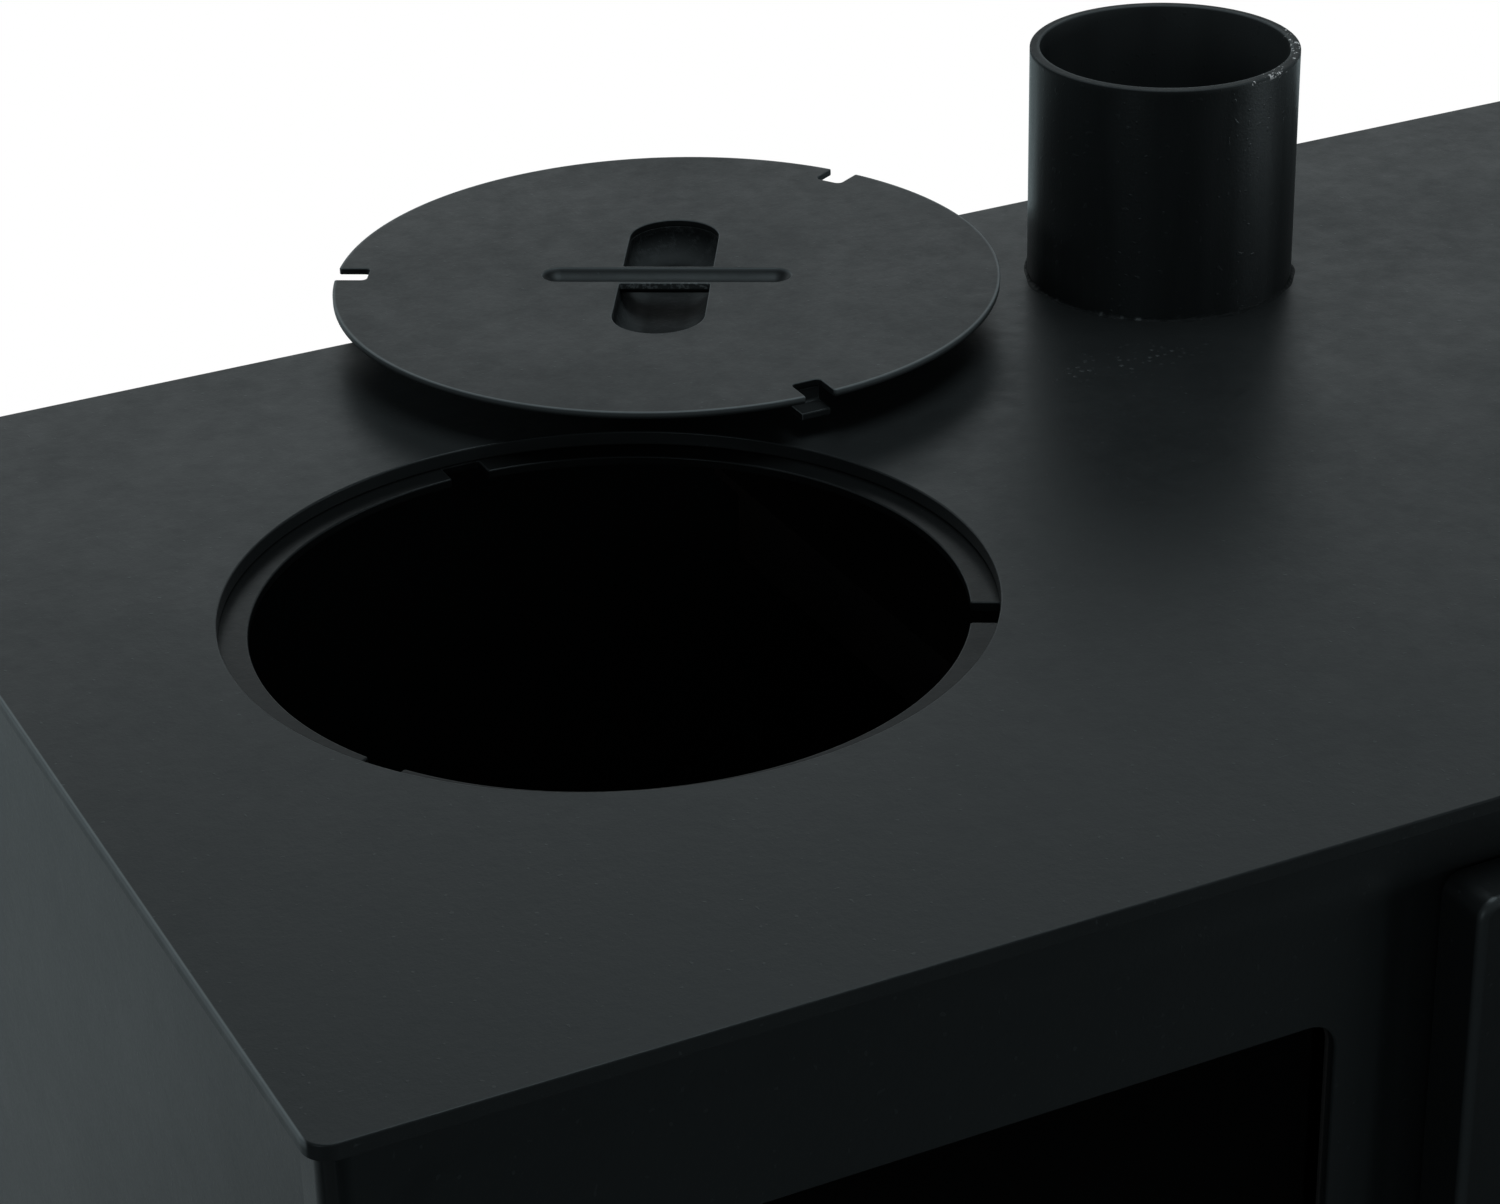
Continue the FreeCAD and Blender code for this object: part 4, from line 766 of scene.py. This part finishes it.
def make_lid():
    """The notched disc: two slots, and a groove pressed into the bar between them."""
    shell, place = Shell(), lid_place()
    angles = np.array(NOTCH_ANGLES) - LID_TURN
    edge = cut_circle((0, 0), LID_RADIUS, NOTCH_WIDTH, LID_RADIUS - NOTCH_DEPTH, (0.6, 1.6), angles, False)
    near, far, side = GRIP_BAR_HALF, GRIP_SLOT_HALF, GRIP_SLOT_HALF_WIDTH
    slot = np.array([(near, -side), (far, -side), (far, side), (near, side)])
    rounds = (0.8, GRIP_SLOT_ROUND, GRIP_SLOT_ROUND, 0.8)
    slots = [outline(slot, rounds, True, 24), outline(-slot, rounds, True, 24)]
    top = groove_rows(shell, place, 0.0, 1.0)
    under = groove_rows(shell, place, -LID_SHEET, -1.0)
    shell.sheet(place, edge, slots, -LID_SHEET, 0.0, 0.35, 0.35, [np.stack([under[0], top[0]])])
    shell.piece("lid_top", "lid", "black_paint", LID_PAINT, "lid_disc")


def make_lid_pocket():
    """A pressed pan with round ends under the finger slot, its walls lower where the groove crosses them."""
    shell = Shell()
    far, side = GRIP_SLOT_HALF, GRIP_SLOT_HALF_WIDTH
    crossing = np.linspace(-GROOVE_EDGE, GROOVE_EDGE, 23)
    wall_line = np.stack([crossing, np.full(len(crossing), -side)], -1)
    half = np.concatenate([wall_line, [(far, -side), (far, side)]])
    rounds = np.append(0 * crossing, (GRIP_SLOT_ROUND, GRIP_SLOT_ROUND))
    loop = outline(np.concatenate([half, -half]), np.tile(rounds, 2), False, 24)
    wall, lap, floor = POCKET_SHEET, -POCKET_ROUND, POCKET_FOOT + POCKET_SHEET
    profile = section((lap, POCKET_FOOT, 0), (wall, POCKET_FOOT, POCKET_ROUND), (wall, -LID_SHEET, 0.2),
                      (0, -LID_SHEET, 0.2), (0, floor, POCKET_ROUND - POCKET_SHEET), (lap, floor, 0))
    rows = shell.sweep(lid_place(), loop, profile, -groove_height(loop[0][:, 0]))
    shell.close(rows)
    shell.piece("finger_pocket", "lid", "black_paint", LIT_POCKET_PAINT, "lid_pocket")


def make_lid_tabs():
    """Three strips bent to an L, each drawn from the side and as wide as the notch above it."""
    shell = Shell()
    root, under = LID_RADIUS - NOTCH_DEPTH, -LID_SHEET
    inner, upper = root - TAB_SHEET, TAB_FOOT + TAB_SHEET
    tip = inner + TAB_REACH
    corners = [(inner, under), (inner, TAB_FOOT), (tip, TAB_FOOT), (tip, upper), (root, upper), (root, under)]
    loop = outline(corners, (0.4, 2.4, 0.5, 0.5, 0.8, 0.4))
    for angle in np.radians(NOTCH_ANGLES):
        side = Place((*LID, LID_TOP), (*compass(angle), 0), (0, 0, 1))
        shell.sheet(side, loop, [], -NOTCH_WIDTH / 2, NOTCH_WIDTH / 2, 0.3, 0.3)
    shell.piece("lid_tabs", "lid", "black_paint", LID_PAINT, "lid_hooks")


def make_flue_collar():
    """A plain tube with both rims eased."""
    shell = Shell()
    bore = circle(FLUE, FLUE_BORE, True)
    shell.sheet(LYING, circle(FLUE, FLUE_RADIUS), [bore], PLATE_TOP, FLUE_TOP, 0.2, 0.5)
    shell.piece("flue_tube", "stove_body", "black_paint", FLUE_PAINT, "flue_collar")


def waves(angle, seed, low, high, count):
    """A sum of cosines of whole turns between low and high, with fixed random sizes and starts."""
    random = np.random.default_rng(seed)
    turns = random.integers(low, high, count)
    starts = random.uniform(0, 2 * math.pi, count)
    sizes = random.uniform(0.4, 1.0, count)
    total = (sizes[:, None] * np.cos(turns[:, None] * angle[None] + starts[:, None])).sum(0)
    return total / np.sqrt((sizes ** 2).sum() / 2)


def grid_facing(points, outwards):
    """Across both directions of a grid whose columns close on themselves, turned to face outwards."""
    around = np.roll(points, -1, 1) - np.roll(points, 1, 1)
    facing = unit(np.cross(np.gradient(points, axis=0), around))
    return facing * np.sign((facing * outwards).sum(-1, keepdims=True) + 1e-9)


def make_weld_bead():
    """A weld run round the tube's foot: a fillet whose two legs swell and whose hollow face ripples.

    At each angle the toe lies at the tube's radius plus one leg and the head at the other leg's height.
    The face between them is pulled in towards the corner by a share that ripples with the weld's pitch."""
    shell = Shell()
    angle = full_turn(720)
    leg = BEAD_LEG * np.clip(0.75 + 0.18 * waves(angle, 3, 5, 22, 9), 0.35, 1.3)
    rise = BEAD_RISE * np.clip(0.70 + 0.22 * waves(angle, 5, 6, 26, 9), 0.3, 1.3)
    ripple = 0.16 * np.cos(110 * angle + 1.5 * waves(angle, 8, 3, 9, 5)) + 0.10 * waves(angle, 13, 30, 70, 9)
    share = np.linspace(0, 1, 9)[:, None]
    pull = 1 - (0.30 + 0.5 * ripple[None]) * np.sin(math.pi * share)
    out, up = leg[None] * share * pull, rise[None] * (1 - share) * pull
    turn, place = compass(angle), Place((*FLUE, PLATE_TOP), (1, 0, 0), (0, 1, 0))
    inner = FLUE_RADIUS - BEAD_LAP
    points = place.put((inner + out)[..., None] * turn[None], up)
    outwards = place.turn(turn, np.ones(len(angle)))
    # Paler spots along the bead's face: painted glints, carried as the rim value.
    painted_glints = np.clip(waves(angle, 21, 30, 80, 12) - 1.1, 0, 1)[None] * np.sin(math.pi * share)
    numbers = shell.add(points, grid_facing(points, outwards), painted_glints)
    shell.weave(numbers)
    under = shell.add(place.put(inner * turn, 0 * angle), (0, 0, -1))
    shell.weave(np.stack([numbers[-1], under, numbers[0]]), flat=True)
    shell.piece("flue_weld", "stove_body", "black_paint", WELD_PAINT, "flue_weld_bead")


def make_front_panel():
    """One sheet with a bend at each end, a raised surround, and openings for the window and the doorway.

    Each bend is a quarter circle about a centre one bend radius in from both faces, drawn up the height."""
    shell = Shell()
    bend = compass(np.radians(np.linspace(180, 270, 13)))
    skins = []
    for inset, facing in ((0.0, 1.0), (SHEET, -1.0)):
        end = [(-BODY_X + inset, -BODY_Y + BEND_RETURN)]
        line = np.concatenate([end, (-BODY_X + BEND, -BODY_Y + BEND) + (BEND - inset) * bend])
        out = np.concatenate([[(-1.0, 0.0)], bend]) * facing
        half = len(line)
        line = np.concatenate([line, line[::-1] * (-1, 1)])
        out = np.concatenate([out, out[::-1] * (-1, 1)])
        heights = np.repeat([[BODY_FOOT], [PLATE_FOOT]], len(line), 1)
        numbers = shell.add(LYING.put(line, heights), LYING.turn(out, 0 * heights))
        shell.weave(numbers[:, :half], closed=False)
        shell.weave(numbers[:, half:], closed=False)
        skins.append((numbers, numbers[[0, 0, 1, 1], [half - 1, half, half, half - 1]]))
    (outer, front), (inner, back) = skins
    for end in (0, -1):
        shell.weave(np.stack([outer[end], inner[end]]), closed=False, flat=True)
        shell.weave(np.stack([outer[:, end], inner[:, end]]), closed=False, flat=True)
    face, proud, within = BODY_Y, BODY_Y + SURROUND_RISE, BODY_Y - SHEET
    step = section((8.0, face, 0), (3.0, face, 30.0), (-2.5, proud, 30.0), (-7.5, proud, 0))
    pad = shell.sweep(FACING, box_outline(SURROUND, SURROUND_CORNER), step)
    window = shell.sweep(FACING, box_outline(WINDOW, WINDOW_CORNER, True),
                         sheet_section(within, proud, 0.3, 0.6))
    doorway = shell.sweep(FACING, box_outline(DOORWAY, DOORWAY_CORNER, True),
                          sheet_section(within, face, 0.3, 0.5))
    shell.cap(front, pad[0], doorway[-1])
    shell.cap(pad[-1], window[-1])
    shell.cap(back, window[0], doorway[0])
    shell.piece("front_sheet", "stove_body", "black_paint", PAINT, "front_panel")


def make_window():
    """The pane, the tape in front of it, and the studs and nuts behind."""
    pane, tape, studs, nuts = (Shell() for _ in range(4))
    edge = box_outline(WINDOW, WINDOW_CORNER, grow=GLASS_LAP)
    pane.sheet(FACING, edge, [], GLASS_BACK, GLASS_FRONT, 0.4, 0.4)
    pane.piece("window_pane", "stove_body", "window", PANE, "window_glass")
    wall = BODY_Y - SHEET
    low, high, half = GLASS_FRONT + FIT, wall - FIT, TAPE_HALF
    profile = section((0, low, 0), (half, low, 0.8), (half, high, 0.8), (-half, high, 0.8),
                      (-half, low, 0.8), (0, low, 0))
    tape.sweep(FACING, box_outline(WINDOW, WINDOW_CORNER, grow=TAPE_MIDDLE), profile)
    tape.piece("window_tape", "stove_body", "fire_rope", TAPE, "window_gasket")
    bore = circle((0, 0), STUD_RADIUS, True, 32)
    for place in from_behind(*STUD_ROWS):
        studs.spin(place, (STUD_RADIUS, -wall, 0.1), (STUD_RADIUS, -STUD_TIP, 0.7), count=24)
        nuts.sheet(place, hexagon(NUT_FLATS), [bore], -NUT_FRONT, -NUT_BACK, 0.2, 0.5)
    studs.piece("window_stud_set", "stove_body", "fasteners", ZINC, "window_studs")
    nuts.piece("window_nut_set", "stove_body", "fasteners", ZINC, "window_nuts")


def air_slot_outlines():
    half, middles = AIR_HALF_WIDTH, AIR_MIDDLE + AIR_PITCH * np.arange(-2, 3)
    return [box_outline((x - half, x + half, AIR_FOOT, AIR_TOP), AIR_CORNER, True) for x in middles]


def make_door():
    """A shallow pan with a rounded face edge, open at the back, with holes for the latch and the air."""
    shell = Shell()
    floor, wall = DOOR_FACE - DOOR_SHEET, -DOOR_SHEET
    profile = section((wall - 1.9, floor, 0), (wall, floor, 1.5), (wall, DOOR_RIM, 0.5), (0, DOOR_RIM, 0.5),
                      (0, DOOR_FACE, DOOR_ROUND), (-DOOR_ROUND - 0.1, DOOR_FACE, 0))
    pan = shell.sweep(FACING, box_outline(DOOR, DOOR_CORNER, steps=12), profile)
    holes = [circle(LATCH, BUSH_RADIUS, True, 64), *air_slot_outlines()]
    edge = sheet_section(floor, DOOR_FACE, 0.3, 0.5)
    shell.close(pan, *[shell.sweep(FACING, hole, edge) for hole in holes])
    shell.piece("door_shell", "door", "black_paint", DOOR_PAINT, "door_pan")


def make_door_rope():
    """A knitted rope round the doorway: an oval carried along the loop, swollen by two crossing helices.

    The swelling is the greater of the cosines of the two helices' angles, which wind opposite ways."""
    shell = Shell()
    turns, around, count = 256, 5, 1536
    loop = np.concatenate(box_outline(DOORWAY, DOORWAY_CORNER, grow=ROPE_OFFSET, steps=24), 1)
    loop = np.concatenate([loop, loop[:1]])
    length = np.append(0.0, np.cumsum(np.linalg.norm(np.diff(loop[:, :2], axis=0), axis=1)))
    along = np.arange(count) / count
    loop = np.stack([np.interp(along * length[-1], length, column) for column in loop.T], -1)
    line, out = loop[:, :2], unit(loop[:, 2:])
    angle = (np.arange(25) * 2 * math.pi / 24)[:, None]
    helix = 2 * math.pi * turns * along[None]
    knit = np.maximum(np.cos(helix + around * angle), np.cos(helix - around * angle))
    swell = 0.95 + 0.05 * knit
    side, rise = ROPE_HALF_WIDTH * swell * np.cos(angle), ROPE_HALF * swell * np.sin(angle)
    middle = (ROPE_BACK + LINER_BACK) / 2
    points = FACING.put(line[None] + side[..., None] * out[None], middle + rise)
    centre = FACING.put(line, np.full(count, middle))
    # The knit's crests carry a high rim value and its hollows a low one; the rope's finish paints the hollows
    # greyer, a painted shade.
    numbers = shell.add(points, grid_facing(points, points - centre[None]), 0.5 + 0.5 * knit)
    shell.weave(numbers)
    shell.piece("door_rope", "door", "fire_rope", ROPE, "door_gasket")


def make_liner_screws():
    """Four screws with low domed heads and a round socket."""
    shell = Shell()
    tip, seat = DOOR_SHEET - DOOR_FACE, -LINER_BACK
    for place in from_behind(*SCREW_ROWS):
        shell.spin(place, (2.5, tip, 0.3), (2.5, seat, 0), (5.0, seat, 0.2), (5.0, seat + 1.8, 1.0),
                   (3.4, seat + 3.0, 0.8), (1.7, seat + 3.0, 0.2), (1.7, seat + 1.4, 0.2), count=32)
    shell.piece("liner_screw_set", "door", "fasteners", ZINC, "liner_screws")


def hinge_loop(degrees, reach):
    """A hinge barrel with a straight leaf that runs out from it in one direction, as one loop.

    The leaf leaves the barrel where its half width is the radius times the sine of the angle."""
    clear = math.asin(LEAF_HALF / BARREL_RADIUS)
    arc = BARREL_RADIUS * compass(np.linspace(clear, 2 * math.pi - clear, 40))
    line = np.concatenate([arc, [(reach, -LEAF_HALF), (reach, LEAF_HALF)]])
    turned = line @ compass(np.radians([degrees, degrees + 90.0]))
    return outline(turned + np.asarray(HINGE), np.append(np.zeros(len(arc)), (0.7, 0.7)))


def make_hinges():
    """Two barrels with leaves at each hinge, one on the stove and one on the door, on a pin."""
    lower, upper, pins = Shell(), Shell(), Shell()
    stove_leaf, door_leaf = hinge_loop(90.0, -BODY_Y - HINGE[1]), hinge_loop(180.0, HINGE[0] - DOOR[1])
    for z in HINGE_HEIGHTS:
        low, high = z - BARREL_LENGTH, z + BARREL_LENGTH
        lower.sheet(LYING, stove_leaf, [circle(HINGE, HINGE_PIN, True, 40)], low, z, 0.5, 0.5)
        bore = circle(HINGE, HINGE_PIN + FIT, True, 40)
        upper.sheet(LYING, door_leaf, [bore], z + END_PLAY, high + END_PLAY, 0.5, 0.5)
        pins.spin(LYING.at(HINGE), (HINGE_PIN, low, 0.5), (HINGE_PIN, high, 1.0))
    lower.piece("stove_hinge_barrels", "stove_body", "black_paint", FRAME_PAINT, "body_hinge_knuckles")
    upper.piece("door_hinge_barrels", "door", "black_paint", FRAME_PAINT, "door_hinge_knuckles")
    pins.piece("hinge_pin_set", "stove_body", "fasteners", ZINC, "hinge_pins")


def make_latch():
    """The latch on its spindle: bush, spacer, arm with hub, tongue and nut."""
    place, (x, z) = FACING.at(LATCH), LATCH
    bush, spacer, spindle, arm, tongue, nut = (Shell() for _ in range(6))
    bush_front = DOOR_FACE + BUSH_LIP
    bush.ring(place, SPINDLE_RADIUS + FIT, (BUSH_RADIUS, LINER_BACK, 0.2), (BUSH_RADIUS, DOOR_FACE, 0),
              (BUSH_FLANGE, DOOR_FACE, 0.1), (BUSH_FLANGE, bush_front, 1.2))
    bush.piece("latch_bearing", "door", "fasteners", ZINC, "latch_bush")
    spindle.spin(place, (SPINDLE_RADIUS, SPINDLE_BACK, 0.8), (SPINDLE_RADIUS, ARM_FRONT, 0.6))
    spindle.piece("latch_rod", "latch", "fasteners", ZINC, "latch_spindle")
    spacer.ring(place, SPINDLE_RADIUS, (BUSH_RADIUS, CATCH_FRONT, 0.4),
                (BUSH_RADIUS, LINER_BACK - END_PLAY, 0.4))
    spacer.piece("latch_sleeve", "latch", "fasteners", ZINC, "latch_spacer")
    bore = circle(LATCH, SPINDLE_RADIUS, True, 48)
    bar = box_outline((x - ARM_HALF, x + ARM_HALF, z - ARM_LENGTH - ARM_HALF, z + ARM_HALF),
                      ARM_HALF - 0.01, steps=20)
    arm.sheet(FACING, bar, [bore], ARM_BACK, ARM_FRONT, 0.8, 1.4)
    arm.ring(place, SPINDLE_RADIUS, (ARM_HALF, bush_front + END_PLAY, 0.6), (ARM_HALF, ARM_BACK + 0.5, 0))
    arm.piece("latch_lever", "latch", "black_paint", FRAME_PAINT, "latch_arm")
    catch = box_outline((x - CATCH_HALF, x + CATCH_HALF, z - CATCH_HALF, z + CATCH_REACH),
                        CATCH_HALF - 0.01, steps=16)
    tongue.sheet(FACING, catch, [bore], CATCH_BACK, CATCH_FRONT, 0.6, 0.6)
    tongue.piece("latch_catch", "latch", "fasteners", ZINC, "latch_tongue")
    bore = circle((0, 0), SPINDLE_RADIUS, True, 48)
    nut.sheet(BACKWARDS.at((-x, z)), hexagon(LOCK_NUT_FLATS), [bore], -CATCH_BACK, -LOCK_NUT_BACK, 0.2, 0.8)
    nut.piece("latch_lock_nut", "latch", "fasteners", ZINC, "latch_nut")


def make_grip():
    """The turned grip, whose radius is a parabola through its neck, belly and shoulder, then an ellipse."""
    shell = Shell()
    length = GRIP_TIP - ARM_FRONT
    shoulder, end_radius = length - GRIP_END, 7.5
    side = np.linspace(0, shoulder, 25)
    swell = np.polyval(np.polyfit([0, 0.55 * length, shoulder], [7.0, 9.5, end_radius], 2), side)
    angle = np.linspace(0, math.pi / 2 - 0.04, 12)[1:]
    radius = np.concatenate([[POLE], swell, end_radius * np.cos(angle)])
    height = ARM_FRONT + np.concatenate([[0.0], side, shoulder + GRIP_END * np.sin(angle)])
    normal = unit(np.stack([np.gradient(height), -np.gradient(radius)], -1))
    normal[0], normal[1], normal[-1] = (0, -1), (0.95, -0.3), (0, 1)
    place = FACING.at((LATCH[0], LATCH[1] - ARM_LENGTH))
    shell.close(shell.sweep(place, spun(64), (np.stack([radius, height], -1), normal)))
    shell.piece("latch_knob", "latch", "grip_wood", WOOD, "latch_grip")


def make_air_control():
    """The slotted slide, its turned knob, and two rails of L section along its long edges."""
    slide, knob, rails = Shell(), Shell(), Shell()
    slide.sheet(FACING, box_outline(SLIDE, 1.5), air_slot_outlines(), SLIDE_BACK, SLIDE_FRONT, 0.2, 0.4)
    slide.piece("air_shutter", "air_control", "black_paint", FRAME_PAINT, "air_slide")
    left, right, low, top = SLIDE
    foot = SLIDE_FRONT
    knob.spin(FACING.at((right - KNOB_INSET, (low + top) / 2)), (4.2, foot, 0.1), (4.2, foot + 6.4, 0.8),
              (7.0, foot + 6.4, 1.7), (7.0, foot + 10.2, 0.4), (6.5, foot + 10.7, 0.3),
              (6.5, foot + 11.7, 0.3), (7.0, foot + 12.2, 0.4), (7.0, foot + 16.0, 1.7), count=64)
    knob.piece("air_pull", "air_control", "fasteners", ZINC, "air_knob")
    lip = np.array([(top + 0.3, DOOR_FACE), (top + 4.3, DOOR_FACE), (top + 4.3, RAIL_FRONT),
                    (top - 3.0, RAIL_FRONT), (top - 3.0, RAIL_LIP), (top + 0.3, RAIL_LIP)])
    below = np.stack([low + top - lip[:, 0], lip[:, 1]], -1)[::-1]
    rounds = (0.4, 0.4, 0.8, 0.4, 0.4, 0.3)
    for loop in (outline(lip, rounds), outline(below, rounds[::-1])):
        rails.sheet(ENDWISE, loop, [], left, right + SLIDE_TRAVEL, 0.3, 0.3)
    rails.piece("air_rails", "door", "black_paint", FRAME_PAINT, "air_slide_rails")


def leg_place(side, y):
    """A leg's own drawing: origin on its pivot, out along the leg upwards, for the right (1) or left (-1)."""
    c, s = math.cos(LEG_SPLAY), math.sin(LEG_SPLAY)
    return Place((side * LEG_PIVOT[0], y, LEG_PIVOT[1]), (side * c, 0, s), (0, side, 0))


def make_foot(shell, place):
    """A rubber cap whose sole is cut level with the ground: each point of its foot is dropped to the ground.

    Along the leg, the ground lies below the pivot by its height plus what the point's offset adds to it."""
    loop = spun(64)
    out = loop[1]
    curl = np.linspace(math.pi / 2, 0, 7)
    radius = np.concatenate([[3.0], CAP_RADIUS - SOLE_ROUND + SOLE_ROUND * np.cos(curl)])
    lift = np.concatenate([[0.0], SOLE_ROUND - SOLE_ROUND * np.sin(curl)])
    across = radius[:, None] * out[None, :, 0]
    ground = -(LEG_PIVOT[1] + math.sin(LEG_SPLAY) * across) / math.cos(LEG_SPLAY)
    tilt = np.concatenate([[-1.0], -np.sin(curl)])[:, None]
    spread = np.sqrt(1 - tilt ** 2)
    facing = place.turn(spread[..., None] * out[None], np.repeat(tilt, len(out), 1))
    numbers = shell.add(place.put(radius[:, None, None] * out[None], ground + lift[:, None]), facing)
    shell.weave(numbers)
    shell.cap(numbers[0])
    top, low = CAP_TOP - LEG_REACH, 6.0 - LEG_REACH
    upper = shell.sweep(place, loop, section(
        (CAP_RADIUS, low, 0), (CAP_RADIUS, top - 3.2, 0.2), (CAP_LIP, top - 2.8, 0.5),
        (CAP_LIP, top - 0.4, 1.2), (LEG_RADIUS, top, 0.3), (LEG_RADIUS, LEG_FOOT, 0), (0.5, LEG_FOOT, 0)))
    shell.weave(np.stack([numbers[-1], upper[0]]))
    shell.cap(upper[-1])


def make_legs():
    """On each side two tubes, a round crossbar between them, rubber feet, ears with a stop, and pins."""
    brackets, pins = Shell(), Shell()
    slope, head = math.tan(LEG_SPLAY), (BODY_FOOT - LEG_PIVOT[1]) / math.cos(LEG_SPLAY)
    ear_loop = outline([(EAR_INNER, EAR_FOOT), (EAR_OUTER, EAR_FOOT), (EAR_OUTER, head - EAR_OUTER * slope),
                        (EAR_INNER, head - EAR_INNER * slope)], (9.0, 1.5, 0.6, 0.6))
    stop_loop = box_outline((-10.6, 10.6, EAR_FOOT, -14.45), 0.8)
    hole, outside = circle((0, 0), LEG_PIN, True, 40), EAR_GAP + EAR_SHEET
    pin_end = [(LEG_PIN, outside, 0), (6.5, outside, 0.2), (6.5, outside + 1.3, 0.8),
               (4.6, outside + 2.5, 1.2)]
    for side, name in ((1, "right"), (-1, "left")):
        body = name + "_legs"
        feet = Shell()
        for y, end in ((-LEG_Y, "_front_leg"), (LEG_Y, "_rear_leg")):
            place = leg_place(side, y)
            tube = Shell()
            tube.ring(place, LEG_RADIUS - LEG_WALL, (LEG_RADIUS, LEG_FOOT, 0.2), (LEG_RADIUS, LEG_TOP, 0.8),
                      count=64)
            tube.piece(name + end + "_tube", body, "black_paint", FRAME_PAINT, name + end)
            make_foot(feet, place)
            ear = Place(place.origin, place.axes[0], place.axes[2])
            for near in (-outside, EAR_GAP):
                brackets.sheet(ear, ear_loop, [hole], near, near + EAR_SHEET, 0.4, 0.4)
            stop = Place(place.origin, place.axes[1], place.axes[2])
            brackets.sheet(stop, stop_loop, [], EAR_OUTER - EAR_SHEET, EAR_OUTER, 0.3, 0.6)
            pins.spin(ear, *[(r, -h, q) for r, h, q in pin_end[::-1]], *pin_end)
        feet.piece(name + "_foot_caps", body, "foot_rubber", RUBBER, name + "_feet")
        bar, place = Shell(), leg_place(side, 0.0)
        across = Place(place.put(np.zeros(2), BAR_RISE - LEG_REACH), place.axes[0], place.axes[2])
        bar.spin(across, (BAR_RADIUS, -BAR_HALF, 0), (BAR_RADIUS, BAR_HALF, 0), count=64)
        bar.piece(name + "_cross_tube", body, "black_paint", FRAME_PAINT, name + "_crossbar")
    brackets.piece("leg_ears", "stove_body", "black_paint", FRAME_PAINT, "leg_brackets")
    pins.piece("leg_pin_set", "stove_body", "fasteners", ZINC, "leg_pins")


def finish_sheets():
    """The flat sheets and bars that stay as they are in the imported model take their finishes."""
    for material, names in (
            (PAINT, ("left_side_panel", "right_side_panel", "back_panel", "floor_panel", "window_retainer")),
            (SCALED_STEEL, ("baffle_plate", "baffle_ledges", "grate_rails", "door_liner")),
            (CAST_IRON, ("fire_grate",)), (BOARD, ("door_insulation",))):
        for name in names:
            NODES[name].data.materials.clear()
            NODES[name].data.materials.append(material)


def make_floor():
    """A flat ground sheet, in rings from the middle outwards, that faces up."""
    shell = Shell()
    radius = np.geomspace(50.0, 14000.0, 40)
    flat = np.zeros(len(radius))
    rows = shell.sweep(LYING, spun(96), (np.stack([radius, flat], -1), np.stack([flat, flat + 1], -1)))
    shell.cap(rows[0])
    ground = shell.made("ground", finish("ground", ground_sheet))


def hang_lamp(name, place, target, width, height, watts):
    """A soft box that looks from its place to a target."""
    data = bpy.data.lights.new(name, "AREA")
    data.shape, data.size, data.size_y, data.energy = "RECTANGLE", width, height, watts
    data.color = (0.94, 1.0, 1.02)
    lamp = linked(name, data)
    turn = (Vector(target) - Vector(place)).to_track_quat("-Z", "Y")
    lamp.matrix_world = Matrix.Translation(place) @ turn.to_matrix().to_4x4()
    lamp.visible_camera = False


def light_room():
    """A white backdrop behind, brightest low down, a soft top and two soft boxes; the camera sees white."""
    world = bpy.data.worlds.new("room")
    bpy.context.scene.world = world
    world.use_nodes = True
    s = Shader(world.node_tree)
    x, y, z = s.axes(s.node("TexCoord", {}, {}, "Generated"))
    low = s.step(z, 0.63, 0.26) * s.step(z, 0.10, 0.34)
    back = s.step(0.98 * y - 0.10 * x, 0.05, 0.9) * low
    right = s.step(x, 0.3, 0.95) * low
    front = s.step(0 - y, 0.2, 0.9) * low
    strength = 0.04 + 1.95 * back + 0.06 * right + 0.30 * front
    seen = s.ray("Camera") + s.ray("Transmission")
    total = strength * (1 - seen) + seen
    colour = s.mix(seen, (0.93, 1.0, 1.02), (1.0, 1.0, 1.0))
    backdrop = s.node("Background", {}, {"Color": colour, "Strength": total})
    s.node("OutputWorld", {}, {"Surface": backdrop})
    hang_lamp("top_box", (0.10, 0.06, 1.75), (0.0, 0.0, 0.44), 0.9, 0.9, 11.0)
    hang_lamp("right_box", (1.50, -0.95, 0.42), (0.05, 0.0, 0.42), 0.7, 0.5, 10.0)
    hang_lamp("left_box", (-1.30, -0.80, 0.62), (0.05, 0.1, 0.45), 0.35, 0.7, 2.4)


def place_camera():
    """A long lens above and to the left of the stove's front, turned a little about its own axis."""
    place, yaw, pitch, roll = (-0.47901, -0.74393, 0.86146), 0.4529, 0.4768, 0.0253
    data = bpy.data.cameras.new("camera")
    data.lens, data.sensor_width, data.sensor_fit = 90.241, 36.0, "HORIZONTAL"
    data.clip_start, data.clip_end = 0.05, 60.0
    camera = linked("camera", data)
    aim = Matrix.Rotation(-yaw, 4, "Z") @ Matrix.Rotation(math.pi / 2 - pitch, 4, "X")
    camera.matrix_world = Matrix.Translation(place) @ aim @ Matrix.Rotation(-roll, 4, "Z")
    bpy.context.scene.camera = camera


def main():
    for make in (place_camera, make_top_plate, make_hob_ring, make_lid, make_lid_pocket, make_lid_tabs,
                 make_flue_collar, make_weld_bead, make_front_panel, make_window, make_door, make_door_rope,
                 make_liner_screws, make_hinges, make_latch, make_grip, make_air_control, make_legs,
                 finish_sheets, make_floor, light_room):
        make()
    bpy.context.scene.view_settings.view_transform = "Standard"


main()
